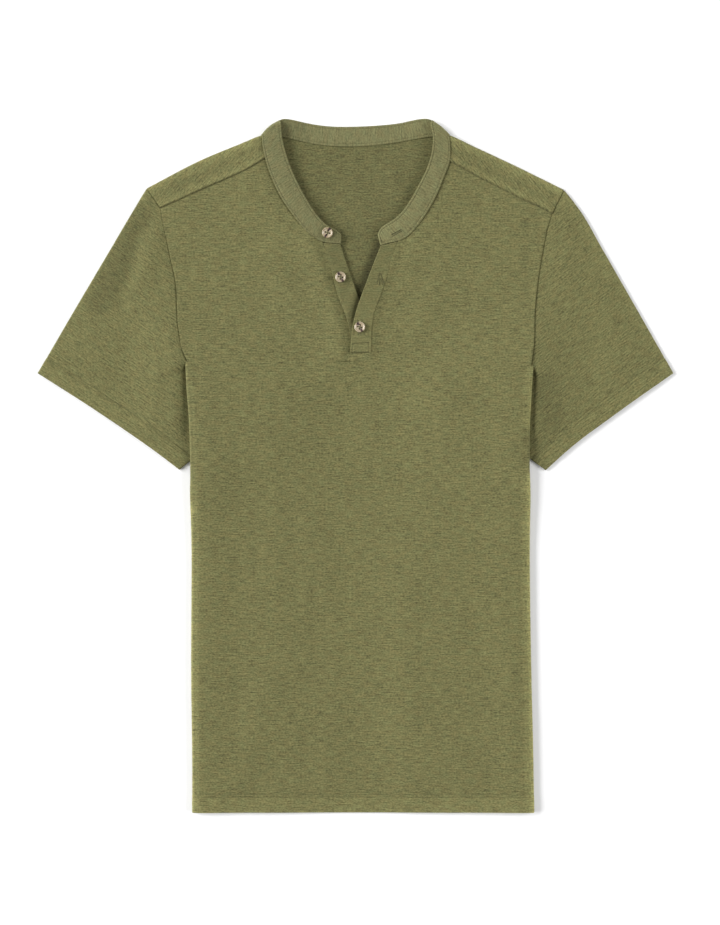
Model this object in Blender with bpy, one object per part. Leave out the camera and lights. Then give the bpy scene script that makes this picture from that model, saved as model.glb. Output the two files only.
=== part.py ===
"""Henley shirt, laid flat on its back with both sides folded in behind it.

Frame: +X to the viewer's right, +Y towards the collar, +Z up from the surface the
shirt lies on. The origin is the middle of the shirt's outline, on that surface.
Sizes below are millimetres; `MM` turns them into Blender's metres.

Every panel is a grid of points: its outline in plan comes from the short tables of
stations below, a height rule lifts it over the layers that lie under it, and a
Solidify modifier gives it the thickness of the cloth.
"""

import bmesh
import bpy
from collections import namedtuple
from math import cos, pi, radians, sin
from mathutils import Matrix, Vector
from mathutils.bvhtree import BVHTree

MM = 0.001

# ---------------------------------------------------------------- driving sizes
WALL = 1.0             # jersey
BAND_WALL = 2.0        # neck band, doubled and fused
PLACKET_WALL = 1.6     # placket strips, doubled
SEAM_GAP = 0.3         # between two pieces at a seam
PITCH = WALL + SEAM_GAP    # from one layer to the next
WELD = 0.02            # points of two patches nearer than this are one
SHARP_FROM = radians(50)
DROP_FROM = 100.0      # a button is seated from this far above the cloth

BODY_HEM_Y = -357.1
TUCK_WIDTH = 80.0      # what is folded in behind at each side
SLIT_BOTTOM_Y = 115.6

BUTTON_DIAMETER = 11.3
BUTTON_THICK = 2.4
BUTTON_RIM = 1.3       # width of the raised rim
BUTTON_DISH = 0.6      # depth of the hollow inside the rim
BUTTON_FOOT = 0.72     # its flat underside, as a fraction of the radius
BUTTON_GIRTH = 0.4     # height of its widest line, as a fraction of the thickness
BUTTON_SLOPE = 0.35    # how far the rim leans in above that line
BUTTON_LIP = 0.35      # half of the run from the rim down into the hollow
BUTTON_HOLE_DIAMETER = 1.7
BUTTON_HOLE_PITCH = 2.9

# ---------------------------------------------------------------- layer heights
# The middle of each wall where the layers lie flat on one another.
FLOOR_LAYER = WALL / 2
SECOND_LAYER = FLOOR_LAYER + PITCH
TUCK_RISE = 2 * PITCH      # the body climbs this much over a folded-in side
SLEEVE_RISE = 2 * PITCH    # the sides climb this much over the sleeve behind them
FRONT_LOFT = 0.5           # slack between the front and the back of the chest
LOFT_FROM_Y = 20.0
LOFT_TO_Y = 110.0
LOFT_END_Y = 225.0
LOFT_END_FADE = 45.0
TUCK_FALL = 20.0           # distance in which the back comes down beside a tuck
SLEEVE_FALL = 26.0         # and beside the sleeve that lies behind the body
FRONT_TUCK_FALL = 72.0     # the front bridges both more gently
FRONT_SLEEVE_FALL = 78.0
SLEEVE_MARGIN = 8.0
TUCK_TOP_SAG = 5.0         # the folded-in side's top edge hangs this much
TUCK_TOP_SAG_AT = 0.55     # fraction of that edge
NECK_LIFT = 1.7            # shoulders stand up where the band folds over
NECK_LIFT_REACH = 30.0
SLIT_LIFT = 1.3            # front panel's rise beside the overlap
SLIT_LIFT_REACH = 22.0
SLIT_LIFT_TOP_Y = 150.0    # it fades out above this line
SLIT_LIFT_FADE = 70.0
FOLD_FADE = 22.0           # the front's own folds end this far from its side folds
BACK_SEAM_LIFT = 2.2       # most that a sleeve's back layer rises to the armhole
BACK_SEAM_REACH = 30.0     # and how far into the sleeve that goes
FRONT_SEAM_LIFT = 5.2      # the same for its front layer
FRONT_SEAM_REACH = 62.0
SEAM_LIFT_START = 2.0      # both rise from this far above the corner of the side fold
SEAM_LIFT_RUN = 22.0
SLEEVE_FOLD_START = 6.0    # a sleeve's own folds begin this far from the body
SLEEVE_FOLD_RUN = 16.0
FOLD_TAPER = 0.4           # share of its height that a fold loses towards its ends
BAND_CROWN = 0.5           # the band swells this much between its two edges

# ---------------------------------------------------------------- grid counts
# Fractions of a stretch's length, or the number of even steps in it.
TUCK_COLUMNS = 6
CENTRE_STEPS = (0.0, 0.1, 0.2, 0.32, 0.48, 0.65, 0.82, 1.0)
SLIT_COLUMNS = 2
LOWER_STEPS = (0.0, 0.12, 0.24, 0.36, 0.48, 0.58, 0.67, 0.74, 0.8, 0.86, 0.91, 0.955, 1.0)
UPPER_STEPS = (0.0, 0.07, 0.14, 0.23, 0.36, 0.51, 0.67, 0.84, 1.0)
YOKE_ROWS = 3
SMALL_FOLD_STEPS = 4
LARGE_FOLD_STEPS = 6
SLEEVE_ALONG = 8
BAND_END_RIBS = 2
BAND_FOLD_RIBS = 6
BAND_ACROSS = 3
PLACKET_ACROSS = 2
CURVE_PARTS = 12           # fine points between two stations of a table
BUTTON_SIDES = 20
BUTTON_HOLE_SIDES = 8

# ---------------------------------------------------------------- outline tables
# Each half of the shirt, left first as the viewer sees it. All columns are (x, y).
Half = namedtuple(
    "Half",
    "sign armpit shoulder_point fold_line armhole forward_seam sleeve_outer sleeve_hem",
)

LEFT = Half(
    sign=-1,
    armpit=(-91.0, 69.5),
    shoulder_point=(-214.2, 285.0),
    # side fold from the hem up to the armhole
    fold_line=((-167.4, -357.1), (-167.6, -290.0), (-168.4, -231.2), (-168.4, -45.8),
               (-170.2, 0.0), (-171.6, 50.0), (-174.3, 87.0), (-175.3, 107.6)),
    # armhole seam from the side fold up to the shoulder seam
    armhole=((-176.3, 114.8), (-181.8, 139.6), (-185.5, 192.1), (-190.0, 211.7),
             (-196.2, 241.5), (-200.8, 265.2)),
    # shoulder seam, which lies forward of the shoulder, from the armhole to the band
    forward_seam=((-200.8, 265.2), (-177.0, 275.8), (-145.5, 292.3), (-127.2, 300.8),
                  (-108.7, 309.0)),
    sleeve_outer=((-214.2, 285.0), (-250.8, 223.2), (-289.0, 158.6), (-326.95, 95.0)),
    sleeve_hem=((-326.95, 95.0), (-268.3, 58.0), (-201.4, 11.0), (-181.6, -4.4)),
)

RIGHT = Half(
    sign=1,
    armpit=(98.0, 66.0),
    shoulder_point=(214.2, 283.5),
    fold_line=((183.3, -357.1), (182.3, -293.0), (180.8, -231.2), (179.2, -138.5),
               (179.2, -10.8), (179.8, 41.7), (182.1, 80.0), (183.2, 102.5)),
    armhole=((183.5, 127.2), (184.1, 151.9), (187.9, 192.1), (191.1, 211.7),
             (194.8, 232.3), (198.3, 248.7), (201.9, 259.0)),
    forward_seam=((201.9, 259.0), (193.3, 264.2), (169.4, 275.1), (151.6, 284.3),
                  (132.4, 293.6), (114.2, 303.6)),
    sleeve_outer=((214.2, 283.5), (232.0, 260.6), (253.6, 223.6), (327.0, 95.0)),
    sleeve_hem=((327.0, 95.0), (262.0, 46.4), (196.1, -4.9)),
)

# Ribs of the neck band and the plackets, from the seam to the free edge. Columns:
# seam x, seam y, seam height, edge x, edge y, edge height (of the wall's middle).
BAND_LEFT = (
    (-15.0, 228.7, 2.5, -15.2, 237.5, 5.2),
    (-23.0, 229.2, 2.4, -19.8, 241.8, 6.0),
    (-34.0, 230.8, 2.4, -28.0, 245.9, 6.6),
    (-44.8, 236.2, 2.4, -35.5, 252.3, 7.0),
    (-54.5, 246.0, 2.4, -42.6, 261.0, 7.2),
    (-65.4, 260.1, 2.4, -51.0, 274.5, 7.4),
    (-76.0, 275.8, 2.4, -58.8, 288.9, 7.6),
    (-84.9, 293.9, 2.5, -66.0, 304.4, 7.8),
    (-92.6, 316.5, 2.9, -73.2, 326.2, 7.9),
    (-95.0, 328.0, 3.6, -76.2, 341.0, 8.0),
    (-95.7, 338.2, 4.0, -76.6, 351.6, 7.8),
)
BAND_BACK = (
    (-95.7, 338.2, 1.0, -77.8, 354.5, 1.6),
    (-87.0, 339.2, 1.0, -74.4, 356.2, 1.5),
    (-74.6, 338.4, 1.0, -67.0, 356.2, 1.5),
    (-60.3, 335.3, 1.0, -57.2, 354.3, 1.7),
    (-45.4, 332.0, 1.0, -45.4, 351.8, 1.6),
    (-26.3, 329.5, 1.0, -25.5, 349.0, 1.5),
    (-6.0, 328.8, 1.0, -5.6, 348.2, 1.5),
    (16.6, 329.9, 1.0, 17.6, 348.7, 1.5),
    (30.0, 331.3, 1.0, 31.0, 349.8, 1.5),
    (46.6, 333.8, 1.0, 45.8, 352.0, 1.6),
    (61.3, 336.4, 1.0, 57.5, 354.5, 1.7),
    (74.6, 338.6, 1.0, 67.0, 356.3, 1.5),
    (87.0, 339.4, 1.0, 74.4, 356.3, 1.5),
    (95.9, 338.4, 1.0, 78.2, 354.7, 1.6),
)
BAND_RIGHT = (
    (25.6, 226.8, 3.6, 23.4, 237.4, 5.6),
    (33.5, 229.2, 3.2, 26.0, 243.4, 6.2),
    (43.4, 231.4, 2.9, 31.0, 247.5, 6.8),
    (52.5, 235.8, 2.6, 38.0, 251.6, 7.1),
    (62.5, 246.0, 2.5, 46.6, 259.0, 7.3),
    (74.0, 262.3, 2.4, 56.6, 272.8, 7.5),
    (82.9, 278.6, 2.4, 65.2, 288.2, 7.6),
    (90.6, 297.5, 2.5, 73.6, 305.4, 7.8),
    (96.4, 313.6, 2.8, 78.6, 322.6, 7.9),
    (97.0, 326.0, 3.5, 79.8, 338.6, 8.0),
    (95.9, 338.4, 4.0, 77.2, 351.8, 7.8),
)
# Rows of the band at the placket's seam, at the shoulder seam and at the turn over
# the shoulder, and the two rows at the middle of the back.
ROW_AT_SLIT = 2
ROW_AT_SEAM = 8
ROW_AT_TURN = 10
BACK_MIDDLE_ROWS = (6, 7)
BACK_LAST_ROW = 13

UNDERLAP = (
    (-5.4, 116.2, 2.1, 12.6, 116.2, 2.1),
    (-5.9, 139.6, 2.1, 12.2, 139.6, 2.1),
    (-9.2, 155.7, 2.1, 9.2, 157.1, 2.1),
    (-16.0, 172.3, 2.1, 3.8, 174.6, 2.3),
    (-23.3, 199.9, 2.2, -5.0, 201.8, 3.6),
    (-33.3, 229.2, 2.3, -15.2, 227.6, 4.6),
)
OVERLAP = (
    (16.3, 116.2, 4.0, -5.6, 116.2, 4.0),
    (16.4, 130.0, 4.0, -5.0, 130.0, 4.0),
    (16.9, 144.7, 4.0, -4.0, 144.7, 4.0),
    (20.0, 159.4, 4.0, -1.2, 159.4, 4.2),
    (26.0, 175.6, 3.9, 4.2, 176.0, 4.7),
    (31.4, 191.0, 3.5, 10.6, 189.6, 5.0),
    (35.5, 206.5, 3.1, 16.6, 203.5, 5.2),
    (43.4, 230.4, 2.9, 25.8, 225.9, 5.4),
)

# Largest soft folds of the front: start x, y, end x, y, half width, height.
FRONT_FOLDS = (
    (-112.0, 60.0, -118.0, -190.0, 26.0, 1.5),
    (-66.0, -240.0, -104.0, -316.0, 24.0, 1.7),
    (32.0, -120.0, 40.0, -262.0, 28.0, 1.7),
    (120.0, -60.0, 128.0, -232.0, 24.0, 1.4),
    (52.0, 40.0, 96.0, -40.0, 26.0, 1.2),
    (-44.0, 76.0, -84.0, 10.0, 26.0, 1.2),
    (-86.0, 216.0, -62.0, 160.0, 26.0, 1.4),
    (92.0, 196.0, 62.0, 140.0, 26.0, 1.3),
)
# Soft folds of the sleeves: the same columns.
SLEEVE_FOLDS = (
    (-214.0, 236.0, -244.0, 128.0, 20.0, 1.8),
    (-252.0, 150.0, -262.0, 84.0, 22.0, 1.2),
    (212.0, 224.0, 226.0, 120.0, 18.0, 1.0),
    (252.0, 176.0, 276.0, 104.0, 24.0, 1.5),
)

Button = namedtuple("Button", "name x y turn carrier")
BUTTONS = (
    Button("button_top", -28.8, 239.4, 118.0, "neck_band"),
    Button("button_middle", -15.5, 193.8, 35.0, "button_placket"),
    Button("button_bottom", 4.4, 142.4, 32.0, "buttonhole_placket"),
)

# Linear colours.
CLOTH_COLOUR = (0.192, 0.184, 0.080)
BAND_COLOUR = (0.205, 0.198, 0.090)
CLOTH_ROUGHNESS = 0.95
BUTTON_COLOUR = (0.620, 0.520, 0.370)
BUTTON_ROUGHNESS = 0.35


# ---------------------------------------------------------------- small helpers
def plan(points):
    """Points of a table as vectors in the plan."""
    return [Vector(point[:2]) for point in points]


def flat(point):
    """A point's place in the plan."""
    return Vector((point.x, point.y))


def smooth(value):
    """Soft step from 0 to 1."""
    value = min(max(value, 0.0), 1.0)
    return value * value * (3.0 - 2.0 * value)


def even(count):
    """`count` + 1 even fractions from 0 to 1."""
    return [index / count for index in range(count + 1)]


def backwards(steps):
    """The same fractions counted from the other end."""
    return [1.0 - step for step in reversed(steps)]


def length_steps(line):
    """Each point's fraction of the length of a line."""
    reached = [0.0]
    for start, end in zip(line, line[1:]):
        reached.append(reached[-1] + (end - start).length)
    return [place / reached[-1] for place in reached]


def smooth_curve(points):
    """Fine points along a smooth curve through points that may be unevenly spaced."""
    spans = [(end - start).length for start, end in zip(points, points[1:])]
    slopes = [(end - start) / span for start, end, span in zip(points, points[1:], spans)]
    tangents = [slopes[0]]
    for before, after, span_before, span_after in zip(slopes, slopes[1:], spans, spans[1:]):
        tangents.append((before * span_after + after * span_before)
                        / (span_before + span_after))
    tangents.append(slopes[-1])
    fine = [points[0]]
    for index, span in enumerate(spans):
        for part in range(1, CURVE_PARTS + 1):
            t = part / CURVE_PARTS
            leave = tangents[index] * span * (t ** 3 - 2 * t ** 2 + t)
            arrive = tangents[index + 1] * span * (t ** 3 - t ** 2)
            fine.append(points[index].lerp(points[index + 1], smooth(t)) + leave + arrive)
    return fine


def along(line, steps, partner=None):
    """Points at fractions of a line's length, or pairs with the partner's points."""
    places = length_steps(line)
    found = []
    index = 0
    for step in steps:
        while index < len(line) - 2 and places[index + 1] < step:
            index += 1
        part = (step - places[index]) / (places[index + 1] - places[index])
        point = line[index].lerp(line[index + 1], part)
        if partner:
            point = Rib(point, partner[index].lerp(partner[index + 1], part))
        found.append(point)
    return found


def smooth_path(points, steps):
    """Points at fractions of the length of a smooth curve through `points`."""
    return along(smooth_curve(points), steps)


def straight(start, end, steps):
    return [start.lerp(end, step) for step in steps]


def fill(bottom, top, left, right):
    """Grid between four edges (a Coons patch); its rows run from bottom to top."""
    across = length_steps(bottom)
    up = length_steps(left)
    rows = []
    for j, v in enumerate(up):
        row = []
        for i, u in enumerate(across):
            ruled_up = bottom[i].lerp(top[i], v)
            ruled_across = left[j].lerp(right[j], u)
            corners = bottom[0].lerp(bottom[-1], u).lerp(top[0].lerp(top[-1], u), v)
            row.append(ruled_up + ruled_across - corners)
        rows.append(row)
    return rows


def lay(rows, height):
    """Lift a plan grid to the height that `height(point)` gives."""
    return [[Vector((p.x, p.y, height(p))) for p in row] for row in rows]


def turn_over(upper, lower, outward, steps):
    """Rows of the rounded fold from the line `upper` to the line `lower` under it."""
    rows = []
    for step in even(steps):
        row = []
        for high, low, out in zip(upper, lower, outward):
            centre = (high + low) / 2
            reach = (high - low) / 2
            row.append(centre + reach * cos(pi * step) + out * reach.length * sin(pi * step))
        rows.append(row)
    return rows


def beyond(point, start, end, side):
    """How far `point` lies past the line from `start` to `end`, on its `side`."""
    run = (end - start).normalized()
    offset = point - start
    return side * (run.x * offset.y - run.y * offset.x)


def both_past(first, second):
    """Distance outside a corner that two lines make, rounded at the corner."""
    if first > 0.0 and second > 0.0:
        return (first ** 2 + second ** 2) ** 0.5
    return max(first, second)


def distance_to(point, line):
    """Shortest distance from a point to a chain of points."""
    nearest = []
    for start, end in zip(line, line[1:]):
        run = end - start
        t = min(max((point - start).dot(run) / run.length_squared, 0.0), 1.0)
        nearest.append((point - start - run * t).length)
    return min(nearest)


def ridge(point, folds):
    """Height that the soft folds of a table add at a point of the plan."""
    height = 0.0
    for x0, y0, x1, y1, half_width, rise in folds:
        start, end = Vector((x0, y0)), Vector((x1, y1))
        away = distance_to(point, (start, end)) / half_width
        middle = (point - (start + end) / 2).length / ((end - start).length / 2 + half_width)
        height += rise * (1.0 - smooth(away)) * (1.0 - FOLD_TAPER * min(middle, 1.0))
    return height


# ---------------------------------------------------------------- ribs of the strips
Rib = namedtuple("Rib", "seam edge")


def ribs_between(rows, first, last, steps):
    """Ribs at fractions of the seam's length between two rows of a rib table."""
    seam = smooth_curve([Vector(row[:3]) for row in rows])
    edge = smooth_curve([Vector(row[3:]) for row in rows])
    stretch = slice(first * CURVE_PARTS, last * CURVE_PARTS + 1)
    return along(seam[stretch], steps, edge[stretch])


def closer_ribs(rows, first, last, steps):
    """The same ribs and one more between each two, whose seam end is on the chord."""
    halved = [steps[0]]
    for before, after in zip(steps, steps[1:]):
        halved += [(before + after) / 2, after]
    ribs = ribs_between(rows, first, last, halved)
    for index in range(1, len(ribs) - 1, 2):
        chord = (ribs[index - 1].seam + ribs[index + 1].seam) / 2
        ribs[index] = Rib(chord, ribs[index].edge)
    return ribs


def beside(rib):
    """Where the panel that is sewn to a strip ends, beside one of its ribs."""
    seam, edge = flat(rib.seam), flat(rib.edge)
    return seam + (seam - edge).normalized() * SEAM_GAP


# ---------------------------------------------------------------- plan of one half
FRONT_FOLD_RADIUS = 1.5 * PITCH    # the front turns round three pitches of cloth
FOLD_INSET = FRONT_FOLD_RADIUS + WALL / 2
EDGE_INSET = PITCH / 2 + WALL / 2  # of two layers that turn into each other
TUCK_STEPS = even(TUCK_COLUMNS)
YOKE_STEPS = even(YOKE_ROWS)
SLIT_STEPS = even(SLIT_COLUMNS)


class HalfPlan:
    """Seam lines and fold lines of one half of the shirt, as points in the plan."""

    def __init__(self, half, band_rows, placket_rows):
        self.sign = half.sign
        self.table = half
        self.band_rows = band_rows
        self.placket_rows = placket_rows
        inward = Vector((-half.sign, 0.0))

        # side fold, and the strip that it turns in
        self.fold = smooth_path([p + inward * FOLD_INSET for p in plan(half.fold_line)],
                                LOWER_STEPS)
        self.corner = self.fold[-1]
        self.armpit = Vector(half.armpit)
        self.underarm_end = Vector(half.sleeve_hem[-1])
        hem_end = self.fold[0] + inward * TUCK_WIDTH
        self.side_seam = straight(hem_end, self.armpit, LOWER_STEPS)
        sagging = self.corner.lerp(self.armpit, TUCK_TOP_SAG_AT)
        sagging.y -= TUCK_TOP_SAG
        self.tuck_top = smooth_path([self.corner, sagging, self.armpit], TUCK_STEPS)
        self.tuck = fill(straight(self.fold[0], hem_end, TUCK_STEPS), self.tuck_top,
                         self.fold, self.side_seam)

        # neckline beside the band, from the shoulder seam to the slit, and the slit
        self.yoke_neck = [beside(rib) for rib in
                          ribs_between(band_rows, ROW_AT_SEAM, ROW_AT_TURN, YOKE_STEPS)]
        neck_ribs = ribs_between(band_rows, ROW_AT_SLIT, ROW_AT_SEAM,
                                 backwards(CENTRE_STEPS))
        self.neckline = [beside(rib) for rib in reversed(neck_ribs)]
        placket_ribs = ribs_between(placket_rows, 0, len(placket_rows) - 1, UPPER_STEPS)
        self.slit = [beside(rib) for rib in placket_ribs]
        self.slit[0].y = SLIT_BOTTOM_Y - SEAM_GAP
        self.slit[-1] = self.neckline[-1] + inward * -SEAM_GAP
        self.neckline[-1] = self.slit[-1]

        # shoulder line, shoulder seam and armhole
        shoulder_point = Vector(half.shoulder_point)
        neck_end = self.yoke_neck[-1]
        run = (neck_end - shoulder_point).normalized()
        self.shoulder_out = Vector((-half.sign * -run.y, half.sign * -run.x))
        top_corner = shoulder_point - self.shoulder_out * EDGE_INSET
        self.shoulder = straight(top_corner, neck_end, TUCK_STEPS)
        self.forward_seam = smooth_path(plan(half.forward_seam) + [self.yoke_neck[0]],
                                        TUCK_STEPS)
        self.armhole = smooth_path([self.corner] + plan(half.armhole), UPPER_STEPS)
        self.armhole_top = straight(self.armhole[-1], top_corner, YOKE_STEPS)

    def armhole_x(self, y):
        """Where the armhole passes a height of the plan."""
        return min(self.armhole, key=lambda station: abs(station.y - y)).x

    def over_tuck(self, point, fall):
        """1 over the folded-in side, down to 0 in the distance `fall` beyond it."""
        past_seam = beyond(point, self.side_seam[0], self.armpit, self.sign)
        past_top = beyond(point, self.corner, self.armpit, -self.sign)
        return 1.0 - smooth(both_past(past_seam, past_top) / fall)

    def over_sleeve(self, point, fall):
        """1 over the part of the sleeve that lies behind the body, then down to 0."""
        past_top = beyond(point, self.corner, self.armpit, -self.sign)
        past_low = beyond(point, self.underarm_end, self.armpit, self.sign)
        past_in = self.sign * (self.armpit.x - point.x)
        past = both_past(both_past(past_top, past_low), past_in)
        return 1.0 - smooth((past - SLEEVE_MARGIN) / fall)


HALVES = (HalfPlan(LEFT, BAND_LEFT, UNDERLAP), HalfPlan(RIGHT, BAND_RIGHT, OVERLAP))
OVERLAP_SEAM = plan(OVERLAP)


def side_of(point):
    """The half of the shirt that a point is in."""
    return HALVES[0] if point.x < 0 else HALVES[1]


# ---------------------------------------------------------------- height rules
def tuck_outer_height(point):
    """Front's folded-in strip, the lowest layer of the side."""
    return FLOOR_LAYER + SLEEVE_RISE * side_of(point).over_sleeve(point, SLEEVE_FALL)


def tuck_inner_height(point):
    """Back's folded-in strip, on the front's."""
    return tuck_outer_height(point) + PITCH


def body_height(point, tuck_fall, sleeve_fall):
    """A layer that lies over the floor, the folded-in sides and the sleeves' ends."""
    half = side_of(point)
    return (FLOOR_LAYER + TUCK_RISE * half.over_tuck(point, tuck_fall)
            + SLEEVE_RISE * half.over_sleeve(point, sleeve_fall))


def back_height(point):
    """Back panel where it is the body's lower layer."""
    return body_height(point, TUCK_FALL, SLEEVE_FALL)


def top_height(point):
    """Front panel, and the part of the back that comes over the shoulders."""
    neck_end = side_of(point).shoulder[-1]
    near_neck = 1.0 - smooth((point - neck_end).length / NECK_LIFT_REACH)
    return (body_height(point, FRONT_TUCK_FALL, FRONT_SLEEVE_FALL) + PITCH
            + NECK_LIFT * near_neck)


def edge_fade(point):
    """0 at the side folds, where the front has no folds of its own, 1 further in."""
    half = side_of(point)
    if point.y > half.corner.y:
        return 1.0
    fold_x = min(half.fold, key=lambda station: abs(station.y - point.y)).x
    return smooth(half.sign * (fold_x - point.x) / FOLD_FADE)


def slit_lift(point):
    """Rise of the front beside the overlap, which lies on the underlap."""
    if point.x < 0:
        return 0.0
    near = 1.0 - smooth(distance_to(point, OVERLAP_SEAM) / SLIT_LIFT_REACH)
    return SLIT_LIFT * near * (1.0 - smooth((point.y - SLIT_LIFT_TOP_Y) / SLIT_LIFT_FADE))


def front_height(point):
    """Front panel with its slack, its folds and its rise at the placket."""
    loft = smooth((point.y - LOFT_FROM_Y) / (LOFT_TO_Y - LOFT_FROM_Y))
    loft *= 1.0 - smooth((point.y - LOFT_END_Y) / LOFT_END_FADE)
    folds = ridge(point, FRONT_FOLDS) * edge_fade(point)
    return top_height(point) + FRONT_LOFT * loft + folds + slit_lift(point)


def seam_lift(point, body, layer, most, reach):
    """Rise of a sleeve's layer towards the body's armhole edge, which is at `body`."""
    half = side_of(point)
    corner = half.corner
    above = smooth((point.y - corner.y - SEAM_LIFT_START) / SEAM_LIFT_RUN)
    rise = min(body(Vector((corner.x, point.y))) - layer, most)
    away = half.sign * (point.x - half.armhole_x(point.y))
    return above * rise * (1.0 - smooth(away / reach))


def sleeve_back_height(point):
    return FLOOR_LAYER + seam_lift(point, back_height, FLOOR_LAYER, BACK_SEAM_LIFT,
                                   BACK_SEAM_REACH)


def sleeve_front_height(point):
    half = side_of(point)
    outside = half.sign * (point.x - half.corner.x) - SLEEVE_FOLD_START
    folds = smooth(outside / SLEEVE_FOLD_RUN) * ridge(point, SLEEVE_FOLDS)
    return SECOND_LAYER + folds + seam_lift(point, front_height, SECOND_LAYER,
                                            FRONT_SEAM_LIFT, FRONT_SEAM_REACH)


# ---------------------------------------------------------------- making objects
def cloth_material(name, colour, roughness):
    material = bpy.data.materials.new(name)
    material.use_nodes = True
    shader = material.node_tree.nodes["Principled BSDF"]
    shader.inputs["Base Color"].default_value = (*colour, 1.0)
    shader.inputs["Roughness"].default_value = roughness
    shader.inputs["Metallic"].default_value = 0.0
    return material


def object_from(bm, name, colour, roughness):
    """A new object that takes the bmesh, smooth except at its walls' edges."""
    mesh = bpy.data.meshes.new(name)
    bm.to_mesh(mesh)
    bm.free()
    obj = bpy.data.objects.new(name, mesh)
    bpy.context.scene.collection.objects.link(obj)
    mesh.materials.append(cloth_material(name, colour, roughness))
    mesh.shade_smooth()
    mesh.set_sharp_from_angle(angle=SHARP_FROM)
    return obj


def sheet_mesh(patches):
    """One welded sheet from patches, which are grids of points in millimetres."""
    bm = bmesh.new()
    for rows in patches:
        grid = [[bm.verts.new(point * MM) for point in row] for row in rows]
        for low, high in zip(grid, grid[1:]):
            for i in range(len(low) - 1):
                bm.faces.new((low[i], low[i + 1], high[i + 1], high[i]))
    bmesh.ops.remove_doubles(bm, verts=bm.verts, dist=WELD * MM)
    bmesh.ops.dissolve_degenerate(bm, edges=bm.edges, dist=WELD * MM)
    bmesh.ops.recalc_face_normals(bm, faces=bm.faces)
    return bm


def add_cloth(name, patches, wall, colour):
    """A named sheet of cloth with its wall around the grid's surface."""
    obj = object_from(sheet_mesh(patches), name, colour, CLOTH_ROUGHNESS)
    thicken = obj.modifiers.new("wall", "SOLIDIFY")
    thicken.thickness = wall * MM
    thicken.offset = 0.0
    thicken.use_even_offset = True
    thicken.use_rim = True
    return obj


# ---------------------------------------------------------------- body panels
def body_lower(height):
    """The body below the armpits, from one side fold to the other."""
    left, right = HALVES
    mids = []
    grids = []
    for half in HALVES:
        foot = Vector((half.slit[0].x, BODY_HEM_Y))
        mid = straight(foot, half.slit[0], LOWER_STEPS)
        hem = straight(half.side_seam[0], foot, CENTRE_STEPS)
        top = straight(half.armpit, half.slit[0], CENTRE_STEPS)
        grids += [half.tuck, fill(hem, top, half.side_seam, mid)]
        mids.append(mid)
    hem = straight(mids[0][0], mids[1][0], SLIT_STEPS)
    slit_foot = straight(left.slit[0], right.slit[0], SLIT_STEPS)
    grids.append(fill(hem, slit_foot, mids[0], mids[1]))
    return [lay(grid, height) for grid in grids]


def chest_foot(half):
    """Lower edge of a half's chest: over the folded-in side, then to the slit."""
    return half.tuck_top + straight(half.armpit, half.slit[0], CENTRE_STEPS)[1:]


def tuck_patches(half, upper_height, lower_height, fold_steps):
    """The side fold and the strip that it turns in behind the body."""
    outward = [Vector((half.sign, 0.0, 0.0))] * len(half.fold)
    upper = lay([half.fold], upper_height)[0]
    lower = lay([half.fold], lower_height)[0]
    return [turn_over(upper, lower, outward, fold_steps), lay(half.tuck, lower_height)]


def front_patches():
    patches = body_lower(front_height)
    below_seam = Vector((0.0, -SEAM_GAP))
    for half in HALVES:
        shoulder = [point + below_seam for point in half.forward_seam]
        armhole = half.armhole[:-1] + [shoulder[0]]
        neckline = [shoulder[-1]] + half.neckline[1:]
        grid = fill(chest_foot(half), shoulder + neckline[1:], armhole, half.slit)
        patches.append(lay(grid, front_height))
        patches += tuck_patches(half, front_height, tuck_outer_height, LARGE_FOLD_STEPS)
    return patches


def back_necklines():
    """Back's edge beside the band: left part, middle part and right part."""
    first, last = BACK_MIDDLE_ROWS
    left = ribs_between(BAND_BACK, 0, first, CENTRE_STEPS)
    middle = ribs_between(BAND_BACK, first, last, SLIT_STEPS)
    right = ribs_between(BAND_BACK, last, BACK_LAST_ROW, backwards(CENTRE_STEPS))
    return [[beside(rib) for rib in ribs] for ribs in (left, middle, right)]


def back_patches():
    patches = body_lower(back_height)
    left_neck, middle_neck, right_neck = back_necklines()
    mids = []
    for half, neck in zip(HALVES, (left_neck, right_neck[::-1])):
        armhole = half.armhole + half.armhole_top[1:]
        mid = straight(half.slit[0], neck[-1], length_steps(armhole))
        neck = [half.shoulder[-1]] + neck[1:]
        grid = fill(chest_foot(half), half.shoulder + neck[1:], armhole, mid)
        patches.append(lay(grid, back_height))
        patches += yoke_patches(half)
        patches += tuck_patches(half, back_height, tuck_inner_height, SMALL_FOLD_STEPS)
        mids.append(mid)
    foot = straight(mids[0][0], mids[1][0], SLIT_STEPS)
    patches.append(lay(fill(foot, middle_neck, mids[0], mids[1]), back_height))
    return patches


def yoke_patches(half):
    """The back's turn over the shoulder and its stretch down to the shoulder seam."""
    outward = [half.shoulder_out.to_3d()] * len(half.shoulder)
    lower = lay([half.shoulder], back_height)[0]
    upper = lay([half.shoulder], top_height)[0]
    grid = fill(half.shoulder, half.forward_seam, half.armhole_top[::-1],
                half.yoke_neck[::-1])
    return [turn_over(upper, lower, outward, SMALL_FOLD_STEPS), lay(grid, top_height)]


# ---------------------------------------------------------------- sleeves
def side_normal(start, end, towards_y):
    """Unit vector square to a line in the plan, up or down the plan."""
    run = (end - start).normalized()
    normal = Vector((-run.y, run.x))
    return normal if normal.y * towards_y > 0 else -normal


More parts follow.
